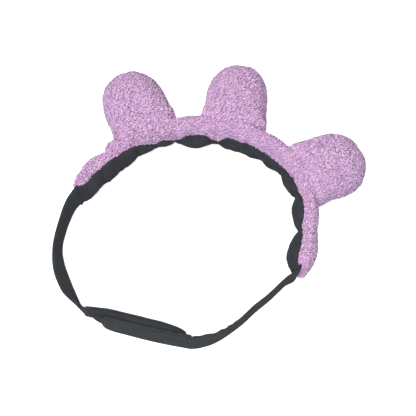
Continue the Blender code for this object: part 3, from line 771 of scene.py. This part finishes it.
def band_body():
    angle = np.linspace(CROWN_LO - 0.4, CROWN_HI + 0.4, 190)
    # round the section: 0 at the outer crest, 90 degrees at the top
    turn = np.linspace(0, 2 * np.pi, 40, endpoint=False)[None, :]
    outer, inner, top, foot = crown_half(angle[:, None])
    cos, sin = np.cos(turn), np.sin(turn)
    power = 2 / SECTION_POWER
    out = (np.where(cos >= 0, outer, inner) - START_INSET) * signed_power(cos, power)
    rise = (np.where(sin >= 0, top, foot) - START_INSET) * signed_power(sin, power)
    rings = swept(crown_frames(angle), out, rise)
    rings[..., 2] = np.maximum(rings[..., 2], 0.7)
    return capped("band_body", rings)


def puff_body(puff):
    """A pillow: the outline's radius tapers to nothing at its top and its underside."""
    slope = np.radians(np.linspace(-87, 87, 33))[:, None]
    # towards the root the upper half stays full, so that the puff runs flush into the band
    rootward = ease((np.degrees(PUFF_FOLDED) - 90) / 50)
    power = 2 / (SECTION_POWER + 1.5 * rootward[None] * (slope > 0))
    reach = signed_power(np.cos(slope), power) * (puff.outline - START_INSET)[None, :]
    rise = signed_power(np.sin(slope), power) * (PUFF_HALF_DEPTH - START_INSET)
    rays = puff.axis * np.cos(PUFF_TURN)[:, None] + puff.across * np.sin(PUFF_TURN)[:, None]
    return capped("puff_body", puff.centre + reach[..., None] * rays[None]
                  + UP * rise[..., None])


def band_bumps(points):
    """Where no puff joins it, the band's outside goes back to its lumpy outline."""
    angle, out, rise = band_offsets(points)
    on_band = np.clip(angle, CROWN_LO, CROWN_HI)
    outer, _, top, foot = crown_half(on_band)
    want = (outer - PILE_HEIGHT) * section_share(rise, np.where(rise >= 0, top, foot))
    weight = 0.85 * np.clip(out / 2.0, 0, 1) * np.clip((12 - np.abs(rise)) / 5, 0, 1)
    for puff in PUFF_AT.values():
        weight = weight * np.clip((np.abs(angle - puff.angle) - PUFF_CLEAR) / 3.0, 0, 1)
    weight = weight * ((angle > CROWN_LO + 1.5) & (angle < CROWN_HI - 1.5))
    move = weight * np.clip(want - out, -3.5, 3.5)
    return points + crown_frames(on_band).normal * move[:, None]


def inflate(body):
    """Blows the body up as cloth under pressure."""
    frames = 20
    modifier = body.modifiers.new("cloth", "CLOTH")
    settings = modifier.settings
    settings.quality = 5
    settings.mass = 0.15
    settings.tension_stiffness = settings.compression_stiffness = 8.0
    settings.shear_stiffness = 4.0
    settings.bending_stiffness = 0.3
    settings.use_pressure = True
    settings.uniform_pressure_force = 4.0
    settings.effector_weights.gravity = 0.0
    modifier.collision_settings.use_self_collision = False
    modifier.point_cache.frame_start, modifier.point_cache.frame_end = 1, frames
    for number in range(1, frames + 1):
        bpy.context.scene.frame_set(number)
    apply_modifiers(body)


def plush_skin():
    """The backing of band and puffs in one piece, swollen, softened and lumpy."""
    body = joined([band_body()] + [puff_body(puff) for puff in PUFF_AT.values()],
                  "plush_skin")
    modified(body, "REMESH", mode="VOXEL", voxel_size=2.6 * MM, use_smooth_shade=True)
    before = coords(body)
    inflate(body)
    after = coords(body)
    bpy.context.scene.frame_set(1)
    move = after - before
    size = np.linalg.norm(move, axis=1)
    limit = np.where(under_lining(before, -1.0), LINED_SWELL, SWELL)
    move *= (limit / np.maximum(size, limit))[:, None]
    set_coords(body, before + move)
    modified(body, "SMOOTH", factor=0.5, iterations=4)
    modified(body, "SUBSURF", levels=1, render_levels=1)
    points = band_bumps(coords(body))
    set_coords(body, points)
    lump = 0.45 * lattice_noise(points, 11.0, 3) + 0.2 * lattice_noise(points, 5.0, 8)
    lump = lump * ~under_lining(points, -1.5)
    points = points + normals(body) * lump[:, None]
    points[:, 2] = np.maximum(points[:, 2], 0.6)
    set_coords(body, points)
    return body


# the stretches of the band that carry each puff; the rest is its ends
SECTORS = {"puff_right": (26.0, 68.5), "puff_middle": (68.5, 112.0),
           "puff_left": (112.0, 151.0)}


def sector_of(points):
    """0 for the band's own ends, 1 to 3 for the stretch that carries each puff."""
    angle = angles_of(points)
    sector = np.zeros(len(points), int)
    for number, (low, high) in enumerate(SECTORS.values(), 1):
        sector[(angle >= low) & (angle < high)] = number
    return sector


def split_skin(skin):
    """The skin cut into the band's ends and the stretch under each puff, edges shared."""
    skin.points, skin.normals = skin.points, skin.normals
    made = {}
    for number, part in enumerate(["ends", *SECTORS]):
        used, index = np.unique(skin.quads[skin.sector == number], return_inverse=True)
        obj = new_object(f"plush_{part}", skin.points[used],
                         index.reshape(-1, 4).astype(np.int32))
        obj.data.normals_split_custom_set_from_vertices(skin.normals[used])
        made[part] = dress(obj, SHADED_GROUND)
    return made


def read_skin(obj):
    """Points, normals, quads, quad middles and sectors of the skin."""
    points = coords(obj)
    quads = np.empty(len(obj.data.loops), np.int32)
    obj.data.loops.foreach_get("vertex_index", quads)
    quads = quads.reshape(-1, 4)
    centre = points[quads].mean(1)
    return SimpleNamespace(points=points, normals=normals(obj), quads=quads, centre=centre,
                           sector=sector_of(centre))


TUFTS_PER_MM2 = 0.95
TUFT_LENGTH, TUFT_WIDTH, TUFT_SUNK = 4.4, 0.6, 0.25
NAP_TURN = math.radians(45)
# The two rings and the tip of a tuft: shares of its length, height and width.
TUFT_STATIONS = ((-0.1, -0.3, 0.8), (0.48, 0.92, 1.0), (1.0, 0.75, 0.0))
TUFT_FACES = np.array([face for j, k in ((0, 1), (1, 2), (2, 0))
                       for face in ((j, k, 3 + k), (j, 3 + k, 3 + j), (3 + j, 3 + k, 6))])
# Places of a tuft's seven points in its tile.
TUFT_U = np.array([0, .33, .66] * 2 + [.5])
TUFT_V = np.array([0, 0, 0, .5, .5, .5, 1.0])


def bare(centre):
    """Where no tufts grow: under the lining, on the floor and in the band's open ends."""
    edge = 1.5 + 1.3 * lattice_noise(centre, 3.5, 21)
    angle, out, rise = band_offsets(centre)
    mouth = ((angle < CROWN_LO + 2.4) | (angle > CROWN_HI - 2.4)) & (out < 1.9)
    below = rise < lining_foot_at(angle) * foot_at(angle) - 0.5
    return (under_lining(centre, edge) & ~below) | (centre[:, 2] < 0.9) | mouth


def tuft_roots(skin):
    """Evenly scattered roots, the surface normals there and the quads they stand on."""
    first, second, third, fourth = (skin.points[skin.quads[:, i]] for i in range(4))
    area = (np.linalg.norm(np.cross(second - first, third - first), axis=1)
            + np.linalg.norm(np.cross(third - first, fourth - first), axis=1)) / 2
    area = np.where(bare(skin.centre), 0, area)
    total = area.sum()
    count = int(total * TUFTS_PER_MM2)
    share = np.cumsum(area) / total
    pick = np.searchsorted(share, (np.arange(count) + RNG.random(count)) / count)
    pick = np.minimum(pick, len(skin.quads) - 1)
    x, y = RNG.random(count), RNG.random(count)
    weight = np.stack([(1 - x) * (1 - y), x * (1 - y), x * y, (1 - x) * y], 1)[..., None]
    corners = skin.quads[pick]
    return ((skin.points[corners] * weight).sum(1),
            unit((skin.normals[corners] * weight).sum(1)), pick)


def nap_at(roots, normal):
    """The nap runs one way over the whole cloth, ruffled a little from place to place."""
    swirl = 0.25 * lattice_noise(roots, 22.0, 5) + 0.15 * lattice_noise(roots, 6.0, 6)
    turn = NAP_TURN + swirl + RNG.normal(0, 0.16, len(roots))
    nap = np.stack([np.cos(turn), np.sin(turn), 0.25 * np.ones(len(roots))], 1)
    nap -= normal * (nap * normal).sum(1)[:, None]
    # where the nap would stand on end it lies sideways
    on_end = np.linalg.norm(nap, axis=1) < 0.15
    nap = np.where(on_end[:, None], np.cross(normal, UP + 1e-3), nap)
    return nap / (np.linalg.norm(nap, axis=1)[:, None] + 1e-9)


def tuft_points(roots, normal):
    """The seven points of each tuft: two triangles and a tip."""
    count = len(roots)
    nap = nap_at(roots, normal)
    side = np.cross(normal, nap)
    length = RNG.uniform(0.7, 1.25, count) * TUFT_LENGTH
    height = PILE_HEIGHT * RNG.uniform(0.55, 1.3, count)
    width = RNG.uniform(0.75, 1.3, count) * TUFT_WIDTH
    thick = width * 0.7
    sway = RNG.normal(0, 0.3, count)
    roll = RNG.uniform(0, 2 * np.pi / 3, count)
    points = []
    for along, lift, girth in TUFT_STATIONS:
        middle = (roots + nap * (length * along)[:, None]
                  + normal * (height * lift - TUFT_SUNK)[:, None]
                  + side * (sway * along)[:, None])
        if not girth:
            points.append(middle)
            continue
        for j in range(3):
            turn = roll + j * 2 * np.pi / 3
            points.append(middle + side * (width * girth * np.cos(turn))[:, None]
                          + normal * (thick * girth * np.sin(turn))[:, None])
    points = np.stack(points, 1)
    points[..., 2] = np.maximum(points[..., 2], 0.05)
    return points


def tuft_tiles(roots, normal):
    """Column and row of each tuft's dye: pinker on the broad faces; more of the darker,
    greyer violet yarns towards the puffs' rims and on steep faces, as painted shade there."""
    count = len(roots)
    rim = np.zeros(count)
    for puff in PUFF_AT.values():
        away = roots - puff.centre
        x, y = away @ puff.axis, away @ puff.across
        distance = np.hypot(x, y)
        free = np.clip(1 - (np.degrees(np.abs(np.arctan2(y, x))) - 95) / 30, 0, 1)
        near_rim = np.clip((distance - 14) / 13, 0, 1) * free
        rim = np.maximum(rim, np.where(distance < 38, near_rim, 0))
    steep_shade = np.clip((0.55 - normal[:, 2]) / 0.5, 0, 1)
    # the rim and steep shares paint shade with the darker greyer yarns; the rest fall at
    # random
    cool_and_shade = RNG.random(count) < (0.12 + 0.6 * rim + 0.35 * steep_shade
                                + 0.12 * lattice_noise(roots, 12.0, 9))
    across = RNG.integers(0, TILES // 2, count) + np.where(cool_and_shade, TILES // 2, 0)
    return across, RNG.integers(0, TILES, count)


def pile(skin):
    """Short tufts of yarn lying over the backing, one piece for each stretch."""
    roots, normal, pick = tuft_roots(skin)
    points = tuft_points(roots, normal)
    across, row = tuft_tiles(roots, normal)
    made = {}
    for number, part in enumerate(["ends", *SECTORS]):
        here = skin.sector[pick] == number
        faces = np.arange(here.sum())[:, None, None] * 7 + TUFT_FACES[None]
        obj = new_object(f"pile_{part}", points[here].reshape(-1, 3),
                         faces.reshape(-1, 3).astype(np.int32))
        uv = np.stack([(across[here][:, None] + 0.15 + 0.7 * TUFT_U[None]) / TILES,
                       (row[here][:, None] + 0.12 + 0.76 * TUFT_V[None]) / TILES], -1)
        layer = obj.data.uv_layers.new(name=UV)
        layer.data.foreach_set("uv", uv[:, TUFT_FACES].ravel().astype(np.float32))
        made[part] = dress(obj, YARN)
    return made


def puff_blend(obj):
    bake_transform(obj)


def plush():
    body = plush_skin()
    skin = read_skin(body)
    skins = split_skin(skin)
    bpy.data.objects.remove(body)
    piles = pile(skin)
    for name in SECTORS:
        puff_blend(skins[name])
        puff_blend(piles[name])
        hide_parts(f"{name}_front_panel", f"{name}_back_panel",
                    f"{name}_rim_seam", f"{name}_filling")
    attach(skins["ends"], "crown")
    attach(piles["ends"], "crown")
    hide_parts("crown_front_panel", "crown_back_panel", "crown_rim_seam",
                "band_wadding", "gather_elastic")


# --------------------------------------------------------------------- lining
def lining_rings():
    """The gathered knit that faces the head: it billows between its tucks."""
    angle = np.linspace(CROWN_LO - 1.3, CROWN_HI + 1.3, 384)
    across = np.linspace(-1, 1, 27)
    frames = crown_frames(angle)
    _, inner, top, foot = crown_half(np.clip(angle, CROWN_LO + 1.5, CROWN_HI - 1.5))
    high = lining_top_at(angle) * top + 0.2
    low = lining_foot_at(angle) * foot
    rise = (high + low)[:, None] / 2 + across[None] * (high - low)[:, None] / 2
    out = -inner[:, None] * section_share(rise, np.where(rise >= 0, top[:, None],
                                                         foot[:, None]))
    # the billow hangs between the top edge and a knee above the foot
    knee = np.minimum(low * 0.7, high - 4.0)
    middle, half = (high + knee) / 2, (high - knee) / 2
    x = np.clip(np.abs(rise - middle[:, None]) / half[:, None], 0, 1)
    out = out - billow_at(angle)[:, None] * (1 - x**2.3) - 0.15
    # at both ends the knit closes round the strap it meets
    end = ease(1 - np.minimum(angle - CROWN_LO, CROWN_HI - angle) / 3.5)[:, None]
    out = out * (1 - end) - 1.75 * end
    rise = rise * (1 - end) + (across[None] * 11.5) * end
    # gathers: folds across the band, deepest near the edges
    turn = np.radians(angle)
    gather = (np.sin(turn * 61 + 3 * np.sin(turn * 7)) * 0.5
              + np.sin(turn * 97 + 2 * np.sin(turn * 11)) * 0.3)
    edge = 0.35 + 0.65 * np.abs(across) ** 2
    out = out - 0.42 * gather[:, None] * edge[None]
    face = swept(frames, out, rise)
    noise = lattice_noise(face.reshape(-1, 3), 6.0, 12).reshape(out.shape)
    face = face - frames.normal[:, None] * (0.3 * noise)[..., None]
    back = face + frames.normal[:, None] * 1.2
    rings = np.concatenate([face, back[:, ::-1]], 1)
    rings[..., 2] = np.maximum(rings[..., 2], 0.3)
    return rings


def lining():
    obj = dress(capped("lining", lining_rings()), LINING_CLOTH)
    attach(obj, "crown")
    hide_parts("inner_lining", "upper_lining_seam", "lower_lining_seam")


# --------------------------------------------------------------------- straps
STRAP_RINGS, STRAP_CUT = 120, 60         # rings along a strap, and the one it is cut at


def flat_ring():
    """Closed unit outline (out, rise) of a flat folded strap: parallel faces and soft
    round edges."""
    turn = np.linspace(0, 2 * np.pi, 28, endpoint=False)
    return (0.5 * signed_power(np.sin(turn), 1 / 3.0),
            0.5 * signed_power(np.cos(turn), 1 / 1.6))


def strap_rings(path, lean, mid_z, angle, width, thick, seed, ripple=None):
    """Rings of a strap and the tangents along it."""
    frames = ring_frames(path, lean, mid_z(angle), angle)
    out, rise = flat_ring()
    arc = arc_length(frames.middle)
    # soft dents across the width and small ripples at the upper edge
    place = np.stack([arc, 0 * arc, 0 * arc + seed], 1)
    dent = lattice_noise(place, 9.0, seed)
    skew = lattice_noise(place, 14.0, seed + 1)
    bow = (0.35 * dent[:, None] * (1 - (2 * rise[None]) ** 2)
           + 0.3 * skew[:, None] * (2 * rise[None]))
    if ripple:
        wave = ripple(angle) * np.sin(arc * 2 * np.pi / 8.0 + 1.5 * np.sin(arc / 5.0))
        bow = bow + wave[:, None] * np.clip(2 * rise[None], 0, 1) ** 2
    rings = swept(frames, out[None] * thick(angle)[:, None] + bow,
                  rise[None] * width(angle)[:, None])
    return rings, frames.tangent


def split_strap(name, rings, parts):
    """The strap's two halves, meeting at the cut with the same normals."""
    whole = capped(name, rings)
    whole_normals = normals(whole)
    around = rings.shape[1]
    end = len(rings) - 1
    made = []
    for part, low, high in ((parts[0], 0, STRAP_CUT), (parts[1], STRAP_CUT, end)):
        half = rings[low:high + 1]
        obj = capped(part, half)
        count = len(half) * around
        keep = np.concatenate([whole_normals[low * around:(high + 1) * around],
                               normals(obj)[count:]])
        if low == 0:
            keep[count] = whole_normals[-2]
        if high == end:
            keep[count + 1] = whole_normals[-1]
        obj.data.normals_split_custom_set_from_vertices(keep)
        made.append(dress(obj, STRAP_CLOTH))
    bpy.data.objects.remove(whole)
    return made


def joint_blend(obj, joint, heading):
    """Bakes the object's placement into its mesh; no blend about the joint is made."""
    point, heading = joint_at(joint), unit(heading)
    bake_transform(obj)


def finish_strap(side):
    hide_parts(f"{side}_strap_casing", f"{side}_strap_elastic",
                f"{side}_strap_anchor", f"{side}_end_stitching")


def left_strap():
    """From inside the band's end to the pad."""
    rings, tangent = strap_rings(
        lambda angle: np.where(angle < 244.5, left_path(angle), pad_path(angle)),
        left_lean, left_z, np.linspace(181.0, LEFT_END + 2.2, STRAP_RINGS),
        width=cubic([(181, 19), (185, 22), (189, 24.6), (195, 25), (246, 25), (248, 24)]),
        thick=cubic([(181, 2.0), (186, 2.8), (240, 2.6), (248, 2.2)]), seed=31)
    upper, lower = split_strap("left_strap", rings, ("left_strap_upper", "left_strap_lower"))
    joint_blend(upper, "left_strap_swing",
                heading=tangent[4])
    joint_blend(lower, "loop_pad_fold",
                heading=tangent[-4])
    finish_strap("left")


def right_strap():
    """From the tab's fold to inside the band's end."""
    rings, tangent = strap_rings(
        right_path, right_lean, right_z, np.linspace(RIGHT_START - 2.6, 0.0, STRAP_RINGS),
        width=cubic([(-66, 24.6), (-62, 25), (-10, 25), (-6, 24.6), (-3, 22), (0, 19)]),
        thick=cubic([(-66, 1.9), (-63, 2.4), (-60, 2.6), (-8, 2.6), (0, 2.0)]), seed=47,
        ripple=cubic([(-65, 0.1), (-60, 0.3), (-52, 0.45), (-46, 0.3), (-40, 0.05), (0, 0.0)]))
    lower, upper = split_strap("right_strap", rings,
                               ("right_strap_lower", "right_strap_upper"))
    joint_blend(upper, "right_strap_swing",
                heading=-tangent[-4])
    joint_blend(lower, "tab_peel",
                heading=-tangent[3])
    finish_strap("right")


# -------------------------------------------------------------------- closure
# A flat piece's frames, arc length, and half widths above and below its mid-line.
Patch = namedtuple("Patch", "frames arc top foot")
PATCH_SEED = 3                           # shared, so that the layers undulate together


def corner_cut(arc, start, end):
    """How much the corners at both ends take off an edge; each is (along, down)."""
    cut = np.zeros(len(arc))
    for distance, (along, down) in ((arc, start), (arc[-1] - arc, end)):
        part = np.clip(1 - distance / along, 0, 1)
        cut = np.maximum(cut, down * (1 - np.sqrt(np.maximum(1 - part**2, 0))))
    return cut


def patch_rings(start, end, off, mid_z, width, thick, corners, curl=0.0):
    """A flat cloth piece of the closure with rounded corners and soft edges; corners
    are those at the start's top and foot, then at the end's top and foot."""
    frames = ring_frames(pad_path, pad_lean, PAD_MID_Z, np.linspace(start, end, 90))
    frames = frames._replace(middle=frames.middle + frames.normal * off
                             + frames.up * (mid_z - PAD_MID_Z))
    arc = arc_length(frames.middle)
    top_start, foot_start, top_end, foot_end = corners
    top = width / 2 - corner_cut(arc, top_start, top_end)
    foot = width / 2 - corner_cut(arc, foot_start, foot_end)
    out, rise = flat_ring()
    rise = 2 * rise[None] * np.where(rise[None] >= 0, top[:, None], foot[:, None])
    from_end = np.minimum(arc, arc[-1] - arc)
    taper = thick * (0.35 + 0.65 * np.clip(from_end / 1.2, 0, 1) ** 0.5)
    rings = swept(frames, out[None] * taper[:, None], rise)
    place = np.stack([np.repeat(arc[:, None], len(out), 1), rise, 0 * rise + PATCH_SEED], -1)
    noise = lattice_noise(place.reshape(-1, 3), 8.0, PATCH_SEED).reshape(rise.shape)
    rings = rings + frames.normal[:, None] * (0.2 * noise)[..., None]
    # the edges turn in towards the layer below
    edge = np.clip(np.abs(rise) / (width / 2), 0, 1)
    tip = np.clip(1 - arc / 4.0, 0, 1)[:, None]
    turned = curl * np.clip(edge**8 + tip**2, 0, 1)
    return rings - frames.normal[:, None] * turned[..., None], Patch(frames, arc, top, foot)


def closure_piece(name, material, body, stands_for, slot, **shape):
    rings, patch = patch_rings(**shape)
    obj = dress(capped(name, rings), material)
    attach(obj, body)
    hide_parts(*stands_for)
    return patch


def closure():
    """From the inside out: pad, loop tape, hook tape and tab."""
    pad = closure_piece(
        "closure_pad", STRAP_CLOTH, "loop_pad", ("loop_pad", "pad_stitching"), "black_knit",
        start=PAD_ENDS[0] - 0.4, end=PAD_ENDS[1], off=0.0, mid_z=PAD_MID_Z,
        width=PAD_WIDTH, thick=PAD_THICK,
        corners=((5.0, 4.0), (7.0, 5.0), (28.0, 14.0), (6.0, 4.0)))
    closure_piece(
        "closure_loop_tape", LOOP_CLOTH, "loop_pad", ("loop_tape",), "loop_pile",
        start=PAD_ENDS[0] + 1, end=PAD_ENDS[1] - 0.8, off=LOOP_OFF, mid_z=PAD_MID_Z,
        width=32.6, thick=1.0, corners=((4.5, 3.6), (6.5, 4.6), (27.0, 13.4), (5.5, 3.6)))
    closure_piece(
        "closure_hook_tape", HOOKS, "hook_tab", ("hook_tape",), "hook_tape",
        start=TAB_ENDS[0] + 1.5, end=TAB_ENDS[1] - 3.5, off=HOOK_OFF, mid_z=TAB_MID_Z,
        width=20.0, thick=0.7, corners=((1.5, 1.5),) * 4)
    tab = closure_piece(
        "closure_tab", TAB_CLOTH, "hook_tab", ("hook_tab", "tab_stitching"), "black_knit",
        start=TAB_ENDS[0], end=TAB_ENDS[1] + 0.5, off=TAB_OFF, mid_z=TAB_MID_Z,
        width=TAB_WIDTH, thick=TAB_THICK,
        corners=((9.0, 6.0), (10.0, 6.0), (0.4, 0.4), (0.4, 0.4)), curl=1.2)
    # side is +1 on the outer face and -1 on the inner one
    border_stitches("pad_stitches", "loop_pad", pad, margin=2.4, lift=-PAD_THICK / 2, side=-1)
    border_stitches("tab_stitches", "hook_tab", tab, margin=4.2, lift=0.66, side=1)


# -------------------------------------------------------------------- stitches
STITCH_PITCH, STITCH_GAP, THREAD_RADIUS = 3.0, 0.7, 0.22
# Rings along a stitch: share of its span, then girth and lift in thread radii.
STITCH_RINGS = ((0.0, 0.35, -0.55), (0.12, 0.85, -0.1), (0.5, 1.0, 0.25), (0.88, 0.85, -0.1),
                (1.0, 0.35, -0.55))
STITCH_SIDES = 6


def stitches(name, body, line, outward):
    """A row of single stitches along a line (mm), each a short rounded length of thread
    that dips into the cloth at both ends; outward is the cloth's normal there."""
    arc = arc_length(line)

    def sample(values, at):
        return np.stack([np.interp(at, arc, values[:, i]) for i in range(3)], 1)
    count = max(int(arc[-1] / STITCH_PITCH), 1)
    step = arc[-1] / count
    tube = tube_faces(len(STITCH_RINGS), STITCH_SIDES)
    last = (len(STITCH_RINGS) - 1) * STITCH_SIDES
    verts, faces = [], []
    for i in range(count):
        start = i * step + STITCH_GAP / 2
        at = np.array([start + (step - STITCH_GAP) * share for share, _, _ in STITCH_RINGS])
        centre, normal = sample(line, at), unit(sample(outward, at))
        side = np.cross(unit(np.gradient(centre, axis=0)), normal)
        base = len(verts)
        for k, (_, girth, lift) in enumerate(STITCH_RINGS):
            radius = THREAD_RADIUS * girth
            for j in range(STITCH_SIDES):
                turn = 2 * np.pi * j / STITCH_SIDES
                rise = THREAD_RADIUS * lift + radius * math.sin(turn)
                verts.append(centre[k] + normal[k] * rise + side[k] * radius * math.cos(turn))
        faces += [tuple(map(int, face)) for face in tube + base]
        faces.append(tuple(base + j for j in range(STITCH_SIDES))[::-1])
        faces.append(tuple(base + last + j for j in range(STITCH_SIDES)))
    obj = dress(new_object(name, np.array(verts), faces), DARK_THREAD)
    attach(obj, body)


def border_stitches(name, body, patch, margin, lift, side):
    """Stitches round a flat piece, margin mm in from its edge and lift mm off its middle."""
    inside = (patch.arc > margin) & (patch.arc < patch.arc[-1] - margin)
    middle, normal, up, _ = (values[inside] for values in patch.frames)
    top = middle + up * column(np.maximum(patch.top[inside] - margin, 1)) + normal * lift
    foot = middle - up * column(np.maximum(patch.foot[inside] - margin, 1)) + normal * lift
    line = np.concatenate([top, foot[::-1], top[:1]])
    stitches(name, body, line, np.concatenate([normal, normal[::-1], normal[:1]]) * side)


# ----------------------------------------------------------------------- stage
FLOOR_HALF = 3000
FLOOR_BOUNCE = (0.3, 0.3, 0.3, 1)        # the floor's colour to all but the camera
FLOOR_GLOW = 0.45                        # its emission, to the camera alone
WORLD_STRENGTH = 0.42


def floor():
    corners = np.array([[-1, -1, 0], [1, -1, 0], [1, 1, 0], [-1, 1, 0]]) * FLOOR_HALF
    obj = new_object("floor", corners, np.array([[0, 1, 2, 3]]), smooth=False)
    cloth = Cloth("floor", roughness=0.9, specular=0.0)
    position = cloth.position()
    seen = cloth.node("LightPath").outputs["Is Camera Ray"]
    tone = cloth.ramp(cloth.noise(position, scale=3.0, detail=2.0),
                      [(0.3, (0.93, 0.93, 0.93, 1)), (0.7, (0.95, 0.95, 0.95, 1))])
    cloth.colour(cloth.mix(seen, FLOOR_BOUNCE, tone))
    cloth.inputs["Emission Color"].default_value = (1, 1, 1, 1)
    feed(cloth.inputs["Emission Strength"], cloth.maths("MULTIPLY", seen, FLOOR_GLOW))
    dress(obj, cloth.material)


def lights():
    world = bpy.data.worlds.new("studio")
    world.use_nodes = True
    background = world.node_tree.nodes["Background"].inputs
    background["Color"].default_value = (1, 1, 1, 1)
    background["Strength"].default_value = WORLD_STRENGTH
    bpy.context.scene.world = world
    lamp = bpy.data.lights.new("key", "AREA")
    lamp.shape = "DISK"
    lamp.size = 0.6
    lamp.energy = 26.0
    obj = bpy.data.objects.new("key", lamp)
    obj.location = (0.12, -0.62, 1.25)
    aim = Vector((0, 0, 0)) - Vector(obj.location)
    obj.rotation_euler = aim.to_track_quat("-Z", "Y").to_euler()
    bpy.context.scene.collection.objects.link(obj)


def camera():
    """Looks down on the ring from the -Y side."""
    data = bpy.data.cameras.new("camera")
    data.lens, data.sensor_width = 85.4, 36.0
    data.clip_start, data.clip_end = 0.01, 20.0
    obj = bpy.data.objects.new("camera", data)
    right, up = Vector((0.92388, 0.38268, 0)), Vector((-0.33470, 0.80804, 0.48481))
    place = np.array([0.1503, -0.3204, 0.6867]) + RING * MM        # metres
    pose = Matrix.Identity(4)
    for k, values in enumerate((right, up, right.cross(up), place)):
        for i in range(3):
            pose[i][k] = values[i]
    obj.matrix_world = pose
    bpy.context.scene.collection.objects.link(obj)
    bpy.context.scene.camera = obj


plush()
lining()
left_strap()
right_strap()
closure()
floor()
lights()
camera()
bpy.context.scene.view_settings.view_transform = "Standard"
